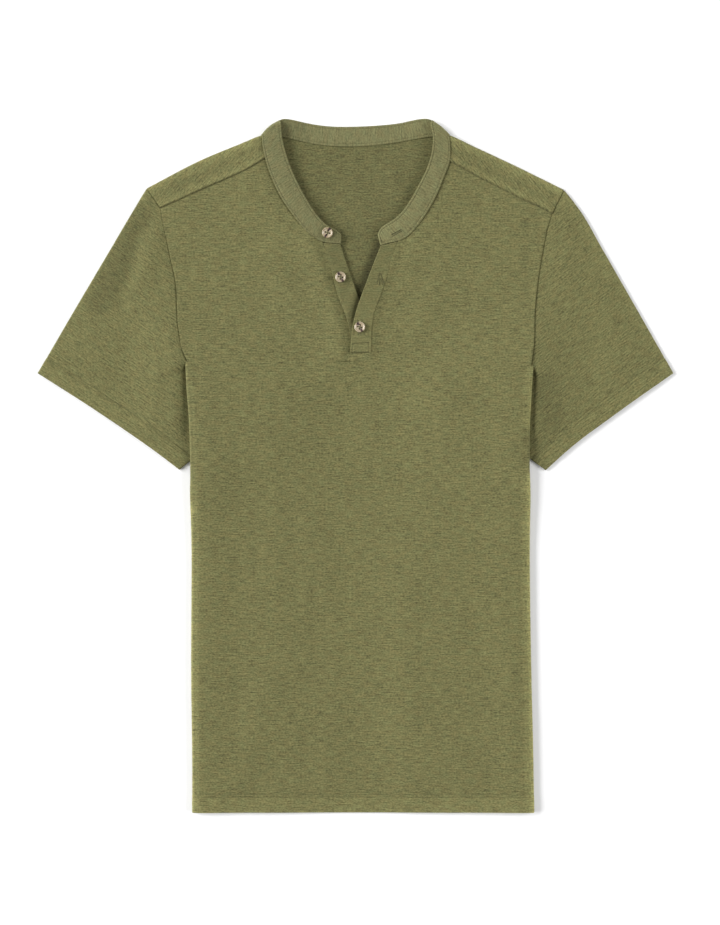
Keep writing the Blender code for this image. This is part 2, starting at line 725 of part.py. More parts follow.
def sleeve_patches(half):
    """Two flat layers, closed along the outer fold and the underarm."""
    gap = Vector((half.sign * SEAM_GAP, 0.0))
    seam = [point + gap for point in (half.armhole + half.armhole_top[1:])[::-1]]
    seam += half.tuck_top[1:]
    outer_table = plan(half.table.sleeve_outer)
    outer_out = side_normal(outer_table[0], outer_table[-1], 1)
    under_out = side_normal(half.armpit, half.underarm_end, -1)
    seam[-1] = half.armpit - under_out * EDGE_INSET
    outer = smooth_path([seam[0]] + [point - outer_out * EDGE_INSET
                                     for point in outer_table[1:]], even(SLEEVE_ALONG))
    underarm = straight(seam[-1], half.underarm_end - under_out * EDGE_INSET,
                        even(SLEEVE_ALONG))
    hem = smooth_path([outer[-1]] + plan(half.table.sleeve_hem[1:-1]) + [underarm[-1]],
                      length_steps(seam))
    grid = fill(seam, hem, outer, underarm)
    back = lay(grid, sleeve_back_height)
    front = lay(grid, sleeve_front_height)
    patches = [back, front]
    for column, out in ((0, outer_out), (-1, under_out)):
        upper = [row[column] for row in front]
        lower = [row[column] for row in back]
        outward = [out.to_3d()] * len(upper)
        patches.append(turn_over(upper, lower, outward, SMALL_FOLD_STEPS))
    return patches


# ---------------------------------------------------------------- neck band, plackets
def crowned(rib, count, crown):
    """Points across a strip, swelling a little between its two edges."""
    points = straight(rib.seam, rib.edge, even(count))
    return [point + Vector((0.0, 0.0, crown * sin(pi * t)))
            for point, t in zip(points, even(count))]


def front_band_ribs(half):
    """Ribs from the band's end at the slit up to its turn over the shoulder."""
    rows = half.band_rows
    ribs = ribs_between(rows, 0, ROW_AT_SLIT, even(BAND_END_RIBS))
    ribs += closer_ribs(rows, ROW_AT_SLIT, ROW_AT_SEAM, backwards(CENTRE_STEPS))[1:]
    return ribs + ribs_between(rows, ROW_AT_SEAM, ROW_AT_TURN, YOKE_STEPS)[1:]


def back_band_ribs():
    first, last = BACK_MIDDLE_ROWS
    ribs = closer_ribs(BAND_BACK, 0, first, CENTRE_STEPS)
    ribs += closer_ribs(BAND_BACK, first, last, SLIT_STEPS)[1:]
    return ribs + closer_ribs(BAND_BACK, last, BACK_LAST_ROW, backwards(CENTRE_STEPS))[1:]


def turn_ribs(half, front_rib, back_rib):
    """Ribs of the rounded turn over a shoulder, from the front leaf to the back leaf."""
    edge_out = side_normal(flat(front_rib.seam), flat(front_rib.edge), 1)
    rows = turn_over([front_rib.seam, front_rib.edge], [back_rib.seam, back_rib.edge],
                     [half.shoulder_out.to_3d(), edge_out.to_3d()], BAND_FOLD_RIBS)
    return [Rib(*row) for row in rows[1:-1]]


def band_patches():
    """One strip: up the left front, over the shoulder, across the back, and down."""
    left, right = HALVES
    left_ribs = front_band_ribs(left)
    back_ribs = back_band_ribs()
    right_ribs = front_band_ribs(right)[::-1]
    ribs = left_ribs + turn_ribs(left, left_ribs[-1], back_ribs[0]) + back_ribs
    ribs += turn_ribs(right, right_ribs[0], back_ribs[-1])[::-1] + right_ribs
    return [[crowned(rib, BAND_ACROSS, BAND_CROWN) for rib in ribs]]


def placket_patches(rows):
    """A strip down one side of the slit."""
    ribs = ribs_between(rows, 0, len(rows) - 1, UPPER_STEPS)
    return [[crowned(rib, PLACKET_ACROSS, 0.0) for rib in ribs]]


# ---------------------------------------------------------------- buttons
def add_button(button, carrier):
    """A turned four-hole button, seated just clear of the band or placket."""
    bm = bmesh.new()
    radius = BUTTON_DIAMETER / 2
    inner = radius - BUTTON_RIM
    hollow = BUTTON_THICK - BUTTON_DISH
    profile = (
        (0.0, 0.0),
        (radius * BUTTON_FOOT, 0.0),
        (radius, BUTTON_THICK * BUTTON_GIRTH),
        (radius - BUTTON_SLOPE, BUTTON_THICK),
        (inner + BUTTON_LIP, BUTTON_THICK),
        (inner - BUTTON_LIP, hollow),
        (0.0, hollow),
    )
    points = [bm.verts.new((r * MM, 0.0, z * MM)) for r, z in profile]
    edges = [bm.edges.new(pair) for pair in zip(points, points[1:])]
    bmesh.ops.spin(bm, geom=points + edges, cent=(0, 0, 0), axis=(0, 0, 1), angle=2 * pi,
                   steps=BUTTON_SIDES, use_merge=True)
    bmesh.ops.remove_doubles(bm, verts=bm.verts, dist=WELD * MM)
    bmesh.ops.recalc_face_normals(bm, faces=bm.faces)
    obj = object_from(bm, button.name, BUTTON_COLOUR, BUTTON_ROUGHNESS)
    surface = surface_of(carrier)
    above = Vector((button.x, button.y, DROP_FROM)) * MM
    spot, normal, _, _ = surface.ray_cast(above, Vector((0.0, 0.0, -1.0)))
    tilt = Vector((0.0, 0.0, 1.0)).rotation_difference(normal).to_matrix().to_4x4()
    turn = Matrix.Rotation(radians(button.turn), 4, "Z")
    obj.matrix_world = Matrix.Translation(spot + normal * SEAM_GAP * MM) @ tilt @ turn
    cutter = hole_cutter(button.name + "_holes")
    cutter.parent = obj
    drill = obj.modifiers.new("holes", "BOOLEAN")
    drill.operation = "DIFFERENCE"
    drill.solver = "EXACT"
    drill.object = cutter
    return obj


def hole_cutter(name):
    """Four thin prisms on a square, for the holes that the thread passes through."""
    bm = bmesh.new()
    for index in range(4):
        angle = pi / 4 + pi / 2 * index
        reach = BUTTON_HOLE_PITCH / 2 ** 0.5
        place = Matrix.Translation(Vector((reach * cos(angle), reach * sin(angle),
                                           BUTTON_THICK / 2)) * MM)
        bmesh.ops.create_cone(bm, cap_ends=True, segments=BUTTON_HOLE_SIDES,
                              radius1=BUTTON_HOLE_DIAMETER / 2 * MM,
                              radius2=BUTTON_HOLE_DIAMETER / 2 * MM,
                              depth=2 * BUTTON_THICK * MM, matrix=place)
    cutter = object_from(bm, name, BUTTON_COLOUR, BUTTON_ROUGHNESS)
    cutter.hide_render = True
    cutter.display_type = "WIRE"
    return cutter


def surface_of(obj):
    """The finished surface of an object, modifiers included."""
    depsgraph = bpy.context.evaluated_depsgraph_get()
    depsgraph.update()
    return BVHTree.FromObject(obj, depsgraph)


# ---------------------------------------------------------------- the shirt
def clear_scene():
    for obj in list(bpy.data.objects):
        bpy.data.objects.remove(obj, do_unlink=True)


def build():
    clear_scene()
    add_cloth("front_panel", front_patches(), WALL, CLOTH_COLOUR)
    add_cloth("back_panel", back_patches(), WALL, CLOTH_COLOUR)
    add_cloth("left_sleeve", sleeve_patches(HALVES[0]), WALL, CLOTH_COLOUR)
    add_cloth("right_sleeve", sleeve_patches(HALVES[1]), WALL, CLOTH_COLOUR)
    carriers = {
        "neck_band": add_cloth("neck_band", band_patches(), BAND_WALL, BAND_COLOUR),
        "button_placket": add_cloth("button_placket",
                                    placket_patches(UNDERLAP),
                                    PLACKET_WALL, BAND_COLOUR),
        "buttonhole_placket": add_cloth("buttonhole_placket",
                                        placket_patches(OVERLAP),
                                        PLACKET_WALL, BAND_COLOUR),
    }
    for button in BUTTONS:
        add_button(button, carriers[button.carrier])


build()
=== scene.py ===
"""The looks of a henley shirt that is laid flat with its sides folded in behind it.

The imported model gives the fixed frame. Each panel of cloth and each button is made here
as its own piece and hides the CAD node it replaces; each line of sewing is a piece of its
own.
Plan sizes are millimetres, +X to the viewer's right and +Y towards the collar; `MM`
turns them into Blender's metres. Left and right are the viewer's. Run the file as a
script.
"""

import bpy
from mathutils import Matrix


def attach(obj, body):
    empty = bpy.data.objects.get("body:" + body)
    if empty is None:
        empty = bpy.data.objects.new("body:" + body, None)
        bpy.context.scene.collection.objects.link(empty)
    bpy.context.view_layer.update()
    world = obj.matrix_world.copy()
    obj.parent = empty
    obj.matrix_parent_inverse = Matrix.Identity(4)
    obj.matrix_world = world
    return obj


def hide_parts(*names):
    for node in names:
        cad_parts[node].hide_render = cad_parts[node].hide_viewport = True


bl_info = {
    "name": "Henley shirt, laid flat",
    "version": (1, 0, 0),
    "blender": (4, 5, 0),
    "location": "View3D > Sidebar > Henley",
    "description": "Cloth panels, sewing, buttons and a studio for a laid-flat henley",
    "category": "Add Mesh",
}

from collections import namedtuple
from math import atan2, cos, degrees, pi, radians, sin

import bmesh
import bpy
from bpy.props import FloatProperty, FloatVectorProperty, PointerProperty
from mathutils import Matrix, Vector
from mathutils.bvhtree import BVHTree

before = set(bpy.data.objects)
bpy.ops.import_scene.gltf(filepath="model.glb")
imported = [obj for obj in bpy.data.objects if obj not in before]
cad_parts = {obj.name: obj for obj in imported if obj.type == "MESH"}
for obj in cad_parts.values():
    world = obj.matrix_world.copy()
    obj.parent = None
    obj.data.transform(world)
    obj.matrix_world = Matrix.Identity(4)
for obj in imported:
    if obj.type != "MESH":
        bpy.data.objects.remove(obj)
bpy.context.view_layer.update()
BODY = "root"
MM = 0.001

# ---------------------------------------------------------------- cloth sizes
WALL = 1.0             # jersey
BAND_WALL = 2.0        # neck band, doubled and fused
PLACKET_WALL = 1.6     # placket strips, doubled
SEAM_GAP = 0.3
TUCKED_GAP = -0.5      # an edge that runs in under a strip that covers it
PITCH = WALL + SEAM_GAP
WELD = 0.02            # points nearer than this are one point
BODY_HEM_Y = -357.1
TUCK_WIDTH = 80.0      # what is folded in behind at each side
SLIT_BOTTOM_Y = 115.6
SHARP_FROM = radians(60)   # edges of the cloth's walls from this angle are rounded
EDGE_SEGMENTS = 3
BAND_EDGE_ROUND = 0.75
PLACKET_EDGE_ROUND = 0.6

# ---------------------------------------------------------------- layer heights
# The middle of each wall where the layers lie flat on one another.
FLOOR_LAYER = WALL / 2
SECOND_LAYER = FLOOR_LAYER + PITCH
TUCK_RISE = 2 * PITCH
SLEEVE_RISE = 2 * PITCH
FRONT_LOFT = 0.5       # slack between the front and the back of the chest
LOFT_FROM_Y = 20.0
LOFT_TO_Y = 110.0
LOFT_END_Y = 225.0
LOFT_END_FADE = 45.0
TUCK_FALL = 20.0
SLEEVE_FALL = 26.0
FRONT_TUCK_FALL = 72.0
FRONT_SLEEVE_FALL = 78.0
SLEEVE_MARGIN = 8.0
TUCK_TOP_SAG = 5.0
TUCK_TOP_SAG_AT = 0.55
NECK_LIFT = 1.7
NECK_LIFT_REACH = 30.0
COLLAR_LIFT = 1.2
COLLAR_REACH = 60.0
COLLAR_FROM_Y = 160.0
SLIT_LIFT = 1.3
SLIT_LIFT_REACH = 22.0
SLIT_LIFT_TOP_Y = 150.0
SLIT_LIFT_FADE = 70.0
FOLD_FADE = 22.0
BACK_SEAM_LIFT = 2.2
BACK_SEAM_REACH = 30.0
FRONT_SEAM_LIFT = 5.2
FRONT_SEAM_REACH = 62.0
SEAM_LIFT_START = 7.0      # how far below the armpit the sleeve starts to rise
SEAM_LIFT_RUN = 6.0
SEAM_LIFT_DROP = 0.9       # how much lower and longer the rise is, by distance outside
SEAM_LIFT_SPREAD = 1.3
SLEEVE_FOLD_START = 6.0
SLEEVE_FOLD_RUN = 16.0
FOLD_TAPER = 0.4       # how much of its height a fold loses towards its ends
BAND_CROWN = 0.4
SIDE_ROLL = ((0.0, 1.2), (5.0, 2.0), (54.0, 0.0))   # by distance inwards
SIDE_ROLL_FADE = 40.0
FRONT_EASE = 0.7       # the front's slack over the whole body, for its soft troughs
EASE_HEM_RUN = 60.0
SLEEVE_EASE = 0.8      # the same in a sleeve's front layer
SLEEVE_EASE_RUN = 26.0

# ---------------------------------------------------------------- hem, seams, welts
HEM_ZONE = 24.0        # depth of the sleeve's grid beside its hem
# Height that a turned hem adds. Columns: distance from the edge, height.
HEM_RELIEF = ((0.0, 0.15), (2.5, 0.35), (13.8, 0.35), (15.9, 0.25), (17.2, 0.3),
              (18.8, -0.25), (20.8, 0.0))
# Height beside a seam: the yoke, which the allowances are pressed to, the body and the
# sleeve beside the armhole, other seams, and the cloth beside the thick neck band and
# under the overlap's foot. The same columns.
YOKE_RELIEF = ((0.0, -0.4), (0.9, 0.75), (4.0, 0.5), (9.0, 0.0))
ARMHOLE_RELIEF = ((0.0, -0.2), (1.2, 0.05), (4.0, 0.0))
SLEEVE_SEAM_RELIEF = ((0.0, -0.9), (1.6, -0.45), (8.0, 0.0))
PLAIN_RELIEF = ((0.0, -0.5), (1.5, -0.12), (3.6, 0.0))
BAND_SIDE_RELIEF = ((0.0, -0.7), (2.6, -0.4), (8.0, 0.0))
BACK_NECK_RELIEF = ((0.0, -0.15), (2.5, 0.0))
SLIT_FOOT_RELIEF = ((0.0, -0.4), (1.5, -0.1), (3.5, 0.15), (8.0, 0.0))
UNDERLAP_RELIEF = ((0.0, -0.2), (3.4, 0.3), (14.0, 0.0))
# Height of the underlap by the distance to the overlap's free edge, which presses it.
PRESS_RELIEF = ((0.0, -0.4), (7.5, 1.4), (18.0, 0.2))
PRESS_FROM_Y = 134.0
PRESS_RUN = 20.0
# Height of the front beside the slit, on the left and on the right.
SLIT_SIDE_RELIEF = {-1: ((0.0, -0.5), (1.2, -0.4), (10.0, 1.5), (30.0, 0.0)),
                    1: ((0.0, 0.1), (8.5, -0.6), (18.0, 0.0))}
# Height across the band from one of its edges: a welt, a stitched groove, the field.
WELT_RELIEF = ((0.0, 0.0), (0.9, 0.3), (1.9, -0.25), (3.0, 0.1), (5.5, 0.0))
BOX_RELIEF = ((0.0, -0.25), (1.2, 0.1), (3.0, 0.0))
STITCH_INSET = 1.9     # from the band's edges to their topstitch
BOX_TOP = (125.2, 126.6)   # the box stitch's top line at its left and right end
BOX_SIDES = (2.5, 2.7)     # its side lines, in from the overlap's edge and seam
BOX_FOOT_INSET = 1.0
BOX_STITCH = (1.9, 0.6)    # length of its stitches, gap between them

STITCH_LENGTH = 2.5
STITCH_GAP = 0.8
STITCH_STRETCH = 1.5       # a stitch that would be drawn out further is left out
STITCH_LEVEL = 0.05        # and so is one on cloth that stands steeper than this
THREAD_RADIUS = 0.19
THREAD_OUT = 0.25          # share of its radius that a thread's middle stands out
TWIN_NEEDLE = (15.9, 18.6)     # the two rows of a hem, from its edge
STITCH_SIDES = 6
STITCH_RINGS = 4
SATIN_LENGTH = 1.3
SATIN_RADIUS = 0.22
SATIN_PITCH = 0.45
LOOK_FROM = 1.6            # a seat is looked for from this far above a point
DROP_FROM = 60.0           # height of a point that is to be dropped on the shirt
HEM_LINE_POINTS = 80
SLEEVE_SEWN_FROM = SECOND_LAYER + 1.0      # height of a sleeve hem's line of stitches
POLE_ALONG_X = Matrix.Rotation(pi / 2, 4, "Y")

# ---------------------------------------------------------------- painted light and shade
# Painted light and shade: the cloth's colour is made lighter where light catches the folded
# edges, the hem and the shoulders. Below nought it is painted shade for the shadows in
# seams, grooves, inside the neck and under the overlap's edge. Strengths of a half's own
# edges are in its table.
PAINTED_SHADING_GAIN = 0.4
LIP_PAINTED_SHADING = 0.5              # forward shoulder seam
SLEEVE_HEM_PAINTED_SHADING = 0.35
HEM_PAINTED_SHADING = 0.85             # body hem
SHOULDER_PAINTED_LIGHT = 1.1
BAND_EDGE_PAINTED_LIGHT = 0.05            # free edge of the band's back
BAND_SIDE_PAINTED_SHADING = (-0.3, 0.25)
NECK_PAINTED_SHADE = -1.0           # beside the overlap's free edge, inside the neck
SLEEVE_SHADE = -0.5
UNDERLAP_PAINTED_SHADE = -0.6
BOX_PAINTED_SHADE = 1.0
INSIDE_PAINTED_SHADE = -0.4          # painted shade on the back's inside, which the neck shows
# Share of the painted light and shade by distance: from a folded edge, in a turned hem, on
# a seam's lip (painted shade in the seam, painted light on the lip), beside a sleeve's
# shaded line, across the band, beside the overlap's free edge inside the neck and on the
# underlap, and in a stitched groove (painted shade).
EDGE_PAINTED_LIGHT_RELIEF = ((0.0, 1.0), (4.0, 0.4), (11.0, 0.0))
HEM_PAINTED_SHADING_RELIEF = ((0.0, 1.0), (2.5, 0.45), (15.2, 0.4), (16.4, -0.15), (18.0, 0.0))
LIP_PAINTED_SHADING_RELIEF = ((0.0, -1.6), (1.0, -1.2), (1.9, 0.9), (3.5, 0.9), (9.0, 0.0))
SHADE_RELIEF = ((0.0, 1.0), (8.0, 0.9), (18.0, 0.0))
STRIP_PAINTED_SHADING_RELIEF = ((0.0, 1.0), (22.0, 1.0), (30.0, 0.0))
NECK_PAINTED_SHADE_RELIEF = ((0.0, 1.0), (4.0, 0.85), (11.0, 0.0))
PRESS_PAINTED_SHADE_RELIEF = ((0.0, 1.0), (5.0, 0.85), (12.0, 0.5), (40.0, 0.5))
GROOVE_PAINTED_SHADE_RELIEF = ((0.0, -1.0), (0.5, -0.8), (1.5, 0.2), (3.0, 0.0))

# ---------------------------------------------------------------- grids
# Close distances beside a hem, beside a seam and at the foot of the slit.
HEM_ROWS = (0.0, 0.55, 1.2, 2.2, 4.0, 7.0, 10.5, 13.2) + tuple(
    14.2 + 0.5 * step for step in range(14))
SEAM_ROWS = (0.0, 0.55, 1.1, 1.7, 2.5, 3.6, 5.0, 6.5, 8.0, 9.5)
SLIT_ROWS = tuple(1.4 * step for step in range(13))
BAND_ROWS = (0.0, 0.85, 1.3, 1.6, 1.9, 2.2, 2.6, 3.2, 4.2, 5.4, 6.6, 7.8)
ROWS_FIXED = 2.6           # nearer rows keep their distance on a narrow rib
ROWS_SPREAD = 1.15         # room that the last row keeps to the middle of a narrow rib
ROWS_LEAST = 0.05
PLACKET_ROWS = (0.0, 0.7, 1.3, 1.9, 2.5, 3.1, 4.0, 5.0, 6.0, 7.0, 8.0)
PLACKET_END_ROWS = (0.0, 0.7, 1.2) + tuple(1.8 + 0.6 * step for step in range(19))
BAND_STEP = 1.4
PLACKET_STEP = 1.0
FOLD_STEPS = 12
SMALL_FOLD_STEPS = 8
CURVE_PARTS = 12
FULL_TURN = 2 * pi
BAND_TURN_RIBS = 14        # ribs of the band's turn over a shoulder
BAND_EDGE_PINCH = 0.3      # how round the turn is at the band's free edge
BAND_TURN_REACH = 16.0
SHOULDER_CREST_AT = 0.5

# ---------------------------------------------------------------- plan
# What differs between the halves. Strengths of painted light are given for the side fold,
# for its stretch beside the sleeve, which starts at point `free_fold` of the fold line
# (below nought it is painted shade), and for the sleeve's outer fold; `sleeve_shade` is the
# line beside which a sleeve gets painted shade. `shoulder_crest` and `band_bow` bulge the
# shoulder and the band's turn. The sleeve has a trench beside the side fold, and `drape` is
# 0 where it leaves the armhole in a soft step and 1 where it falls at once.
Half = namedtuple(
    "Half",
    "sign nap trench_nap free_fold sleeve_nap sleeve_shade armpit shoulder_point"
    " shoulder_crest band_bow fold_line armhole forward_seam sleeve_outer sleeve_hem"
    " trench trench_depth trench_wall drape",
)
LEFT = Half(
    sign=-1,
    nap=1.1,
    trench_nap=-0.1,
    free_fold=4,
    sleeve_nap=0.4,
    sleeve_shade=((-222.0, 256.0), (-264.0, 168.0)),
    armpit=(-91.0, 69.5),
    shoulder_point=(-214.6, 285.6),
    shoulder_crest=3.4,
    band_bow=2.2,
    fold_line=((-167.4, -357.1), (-167.6, -290.0), (-168.4, -231.2), (-168.4, -45.8),
               (-169.4, 0.0), (-170.8, 50.0), (-173.7, 87.0), (-175.0, 107.6)),
    armhole=((-176.3, 114.8), (-181.8, 139.6), (-185.5, 192.1), (-190.0, 211.7),
             (-196.2, 241.5), (-200.8, 265.2)),
    forward_seam=((-200.8, 265.2), (-182.0, 273.4), (-165.3, 281.2), (-144.3, 290.2),
                  (-128.5, 297.1), (-112.8, 304.1)),
    sleeve_outer=((-214.6, 285.6), (-251.7, 223.7), (-289.9, 159.1), (-327.2, 95.0)),
    sleeve_hem=((-327.2, 95.0), (-268.6, 57.5), (-201.4, 11.0), (-181.6, -4.4)),
    trench=((-174.4, 46.0), (-173.0, 94.0)),
    trench_depth=3.6,
    trench_wall=14.0,
    drape=0.0,
)
RIGHT = Half(
    sign=1,
    nap=2.6,
    trench_nap=1.5,
    free_fold=5,
    sleeve_nap=0.4,
    sleeve_shade=((197.0, 84.0), (202.0, 48.0)),
    armpit=(98.0, 66.0),
    shoulder_point=(214.5, 284.0),
    shoulder_crest=1.1,
    band_bow=1.2,
    fold_line=((183.3, -357.1), (182.3, -293.0), (180.8, -231.2), (179.2, -138.5),
               (178.6, -10.8), (178.7, 41.7), (180.9, 80.0), (182.7, 102.5)),
    armhole=((183.5, 127.2), (184.1, 151.9), (187.9, 192.1), (191.1, 211.7),
             (194.8, 232.3), (198.3, 248.7), (201.9, 259.0)),
    forward_seam=((201.9, 259.0), (193.3, 264.2), (169.4, 275.1), (151.6, 284.3),
                  (132.4, 293.6), (114.2, 303.6)),
    sleeve_outer=((214.5, 284.0), (232.4, 260.8), (253.8, 223.7), (327.3, 95.0)),
    sleeve_hem=((327.3, 95.0), (282.9, 64.0), (250.2, 40.2), (234.6, 28.9),
                (218.2, 15.5), (196.1, -4.9)),
    trench=((183.4, 46.0), (184.4, 94.0)),
    trench_depth=2.1,
    trench_wall=5.0,
    drape=1.0,
)

# Ribs of the band and the plackets. Columns: seam x, seam y, seam height, edge x,
# edge y, edge height (of the wall's middle).
BAND_LEFT = (
    (-15.0, 228.7, 3.4, -15.2, 237.5, 3.9),
    (-23.0, 229.2, 3.3, -19.8, 241.8, 4.5),
    (-34.0, 230.8, 3.3, -28.0, 245.9, 4.9),
    (-44.8, 236.2, 3.3, -35.5, 252.3, 5.2),
    (-54.5, 246.0, 3.3, -42.6, 261.0, 5.4),
    (-65.4, 260.1, 3.3, -51.0, 274.5, 5.5),
    (-76.0, 275.8, 3.3, -58.8, 288.9, 5.6),
    (-84.9, 293.9, 3.4, -66.0, 304.4, 5.8),
    (-92.6, 316.5, 3.3, -73.2, 326.2, 6.0),
    (-95.0, 328.0, 4.0, -76.2, 341.0, 6.3),
    (-95.7, 338.2, 4.0, -76.6, 351.6, 6.6),
)
BAND_BACK = (
    (-95.7, 338.2, 1.0, -77.8, 354.5, 1.6),
    (-87.0, 339.2, 1.0, -74.4, 356.2, 1.5),
    (-74.6, 338.4, 1.0, -67.0, 355.8, 1.5),
    (-60.3, 335.3, 1.0, -57.2, 353.6, 1.7),
    (-45.4, 332.0, 1.0, -45.4, 351.1, 1.6),
    (-26.3, 329.5, 1.0, -25.5, 348.6, 1.5),
    (-6.0, 328.8, 1.0, -5.6, 348.3, 1.5),
    (16.6, 329.9, 1.0, 17.6, 349.2, 1.5),
    (30.0, 331.3, 1.0, 31.0, 350.2, 1.5),
    (46.6, 333.8, 1.0, 45.8, 352.0, 1.6),
    (61.3, 336.4, 1.0, 57.5, 354.5, 1.7),
    (74.6, 338.6, 1.0, 67.0, 356.3, 1.5),
    (87.0, 339.4, 1.0, 74.4, 356.3, 1.5),
    (95.9, 338.4, 1.0, 78.2, 354.7, 1.6),
)
BAND_RIGHT = (
    (25.6, 226.8, 4.5, 23.4, 237.4, 4.7),
    (33.5, 229.2, 4.1, 26.0, 243.4, 5.1),
    (43.4, 231.4, 3.8, 31.0, 247.5, 5.5),
    (52.5, 235.8, 3.5, 38.0, 251.6, 5.7),
    (62.5, 246.0, 3.4, 46.6, 259.0, 5.8),
    (74.0, 262.3, 3.3, 56.6, 272.8, 6.0),
    (82.9, 278.6, 3.3, 65.2, 288.2, 6.1),
    (90.6, 297.5, 3.4, 73.6, 305.4, 6.2),
    (96.4, 313.6, 3.2, 78.6, 322.6, 6.4),
    (97.0, 326.0, 3.7, 79.8, 338.6, 6.8),
    (95.9, 338.4, 4.0, 77.2, 351.8, 7.0),
)
# Rows of the front's tables at the slit, at the shoulder seam and at the turn over the
# shoulder, and rows of the back's table.
ROW_AT_SLIT = 2
ROW_AT_SEAM = 8
ROW_AT_TURN = 10
BACK_MIDDLE_ROWS = (6, 7)
BACK_LAST_ROW = 13
UNDERLAP = (
    (-5.6, 116.2, 2.3, 12.4, 116.2, 2.1),
    (-6.2, 139.6, 2.7, 11.8, 139.6, 2.1),
    (-10.5, 155.5, 3.2, 7.9, 157.1, 2.1),
    (-17.2, 172.3, 3.5, 2.4, 174.6, 2.1),
    (-24.5, 199.9, 3.5, -7.0, 201.6, 2.4),
    (-33.3, 229.2, 3.4, -15.6, 227.6, 3.0),
)
OVERLAP = (
    (16.3, 116.2, 4.8, -5.6, 116.2, 4.2),
    (16.4, 130.0, 4.8, -4.4, 130.0, 4.4),
    (16.9, 144.7, 4.8, -2.7, 144.7, 4.8),
    (20.0, 159.4, 4.6, 0.9, 159.4, 5.5),
    (26.0, 175.6, 4.3, 6.5, 176.0, 5.9),
    (31.4, 191.0, 4.0, 11.7, 189.6, 5.9),
    (35.5, 206.5, 3.7, 17.0, 203.5, 5.7),
    (43.4, 230.4, 3.5, 25.8, 225.9, 5.5),
)

# Soft folds and troughs. Columns: start x, y, end x, y, half width, height.
FRONT_FOLDS = (
    (46.0, -105.0, 54.0, -335.0, 40.0, 2.1),
    (-24.0, -180.0, -26.0, -335.0, 30.0, 1.1),
    (-92.0, -232.0, -120.0, -330.0, 28.0, 1.4),
    (-40.0, -60.0, -28.0, -130.0, 28.0, 1.0),
    (108.0, -20.0, 118.0, -170.0, 18.0, -0.6),
    (118.0, -262.0, 150.0, -330.0, 22.0, -0.6),
    (-26.0, 98.0, -44.0, 48.0, 40.0, 1.5),
    (-86.0, 216.0, -62.0, 160.0, 26.0, 1.2),
    (92.0, 196.0, 62.0, 140.0, 26.0, 1.2),
    (-72.0, 10.0, -64.0, -120.0, 18.0, -0.4),
    (140.0, 210.0, 118.0, 130.0, 18.0, 0.5),
    (-148.0, 214.0, -128.0, 150.0, 16.0, 0.5),
    (34.0, 96.0, 44.0, 52.0, 12.0, 0.4),
    (-9.5, 116.5, -7.6, 110.5, 1.8, -0.6),
    (19.0, 116.0, 21.5, 111.0, 1.8, -0.4),
)
SLEEVE_FOLDS = (
    (-214.0, 252.0, -227.0, 226.0, 12.0, -0.9),
    (-228.0, 220.0, -238.0, 172.0, 15.0, -1.1),
    (-194.0, 262.0, -220.0, 190.0, 16.0, 0.8),
    (-252.0, 140.0, -262.0, 84.0, 22.0, 0.6),
    (216.0, 214.0, 226.0, 120.0, 20.0, 0.6),
    (252.0, 176.0, 276.0, 104.0, 24.0, 0.9),
    (-286.0, 124.0, -276.0, 90.0, 16.0, 0.4),
    (-206.0, 84.0, -214.0, 34.0, 12.0, 0.3),
    (292.0, 140.0, 298.0, 100.0, 14.0, 0.4),
    (212.0, 90.0, 224.0, 40.0, 14.0, 0.4),
)
BACK_FOLDS = (
    (-40.0, 300.0, -58.0, 252.0, 16.0, 0.5),
    (36.0, 306.0, 50.0, 262.0, 18.0, 0.5),
    (2.0, 286.0, -6.0, 216.0, 20.0, 0.4),
)
SLEEVE_EDGE_FADE = 8.0
# The sleeve swells beyond its trench: its share of the depth by the distance past the
# trench's wall.
SWELL_RELIEF = ((0.0, 1.0), (5.0, 0.97), (64.0, 0.0))
TRENCH_FADE = 26.0
# Puckers of the band and the plackets beside buttonholes. The same columns.
TRIM_PUCKERS = (
    (25.2, 198.6, 21.4, 185.8, 1.3, -0.2),
    (25.2, 198.6, 30.0, 186.4, 1.3, -0.2),
    (23.9, 191.5, 23.4, 185.0, 1.5, 0.35),
    (27.0, 191.5, 28.0, 185.2, 1.5, 0.35),
    (22.4, 183.6, 29.0, 184.0, 1.2, -0.3),
    (4.4, 136.4, 4.9, 130.5, 1.3, -0.4),
    (-0.2, 136.6, -1.5, 134.0, 1.3, -0.4),
    (9.2, 137.2, 10.8, 134.2, 1.3, -0.4),
    (0.4, 148.0, -0.6, 150.5, 1.3, -0.35),
    (8.0, 148.5, 9.0, 151.4, 1.3, -0.35),
    (36.6, 238.0, 46.6, 243.4, 1.3, 0.3),
    (38.2, 234.8, 48.4, 240.2, 1.3, 0.3),
    (37.4, 236.3, 47.4, 241.8, 0.9, -0.35),
)

Button = namedtuple("Button", "name x y turn carrier grain")
BUTTONS = (
    Button("button_top", -28.8, 239.4, 118.0, "neck_band_jersey", 62.0),
    Button("button_middle", -15.5, 193.8, 35.0, "underlap_jersey", 121.0),
    Button("button_bottom", 4.4, 142.4, 32.0, "overlap_jersey", 121.0),
)
# Sides of the buttonholes. Columns: strip, start x, y, end x, y.
HOLE_SIDES_SEWN = (
    ("overlap_jersey", 24.9, 198.0, 21.9, 186.4),
    ("overlap_jersey", 25.5, 198.0, 29.2, 187.2),
    ("overlap_jersey", 24.9, 192.6, 24.6, 185.6),
    ("overlap_jersey", 26.6, 192.6, 27.3, 185.8),
    ("neck_band_jersey", 36.9, 237.2, 46.9, 242.7),
    ("neck_band_jersey", 37.7, 235.6, 47.7, 241.1),
    ("overlap_jersey", 3.3, 137.2, 3.0, 134.2),
    ("overlap_jersey", 5.3, 137.2, 5.6, 134.2),
    ("overlap_jersey", 2.6, 147.8, 2.2, 150.2),
    ("overlap_jersey", 6.2, 147.8, 6.8, 150.2),
)


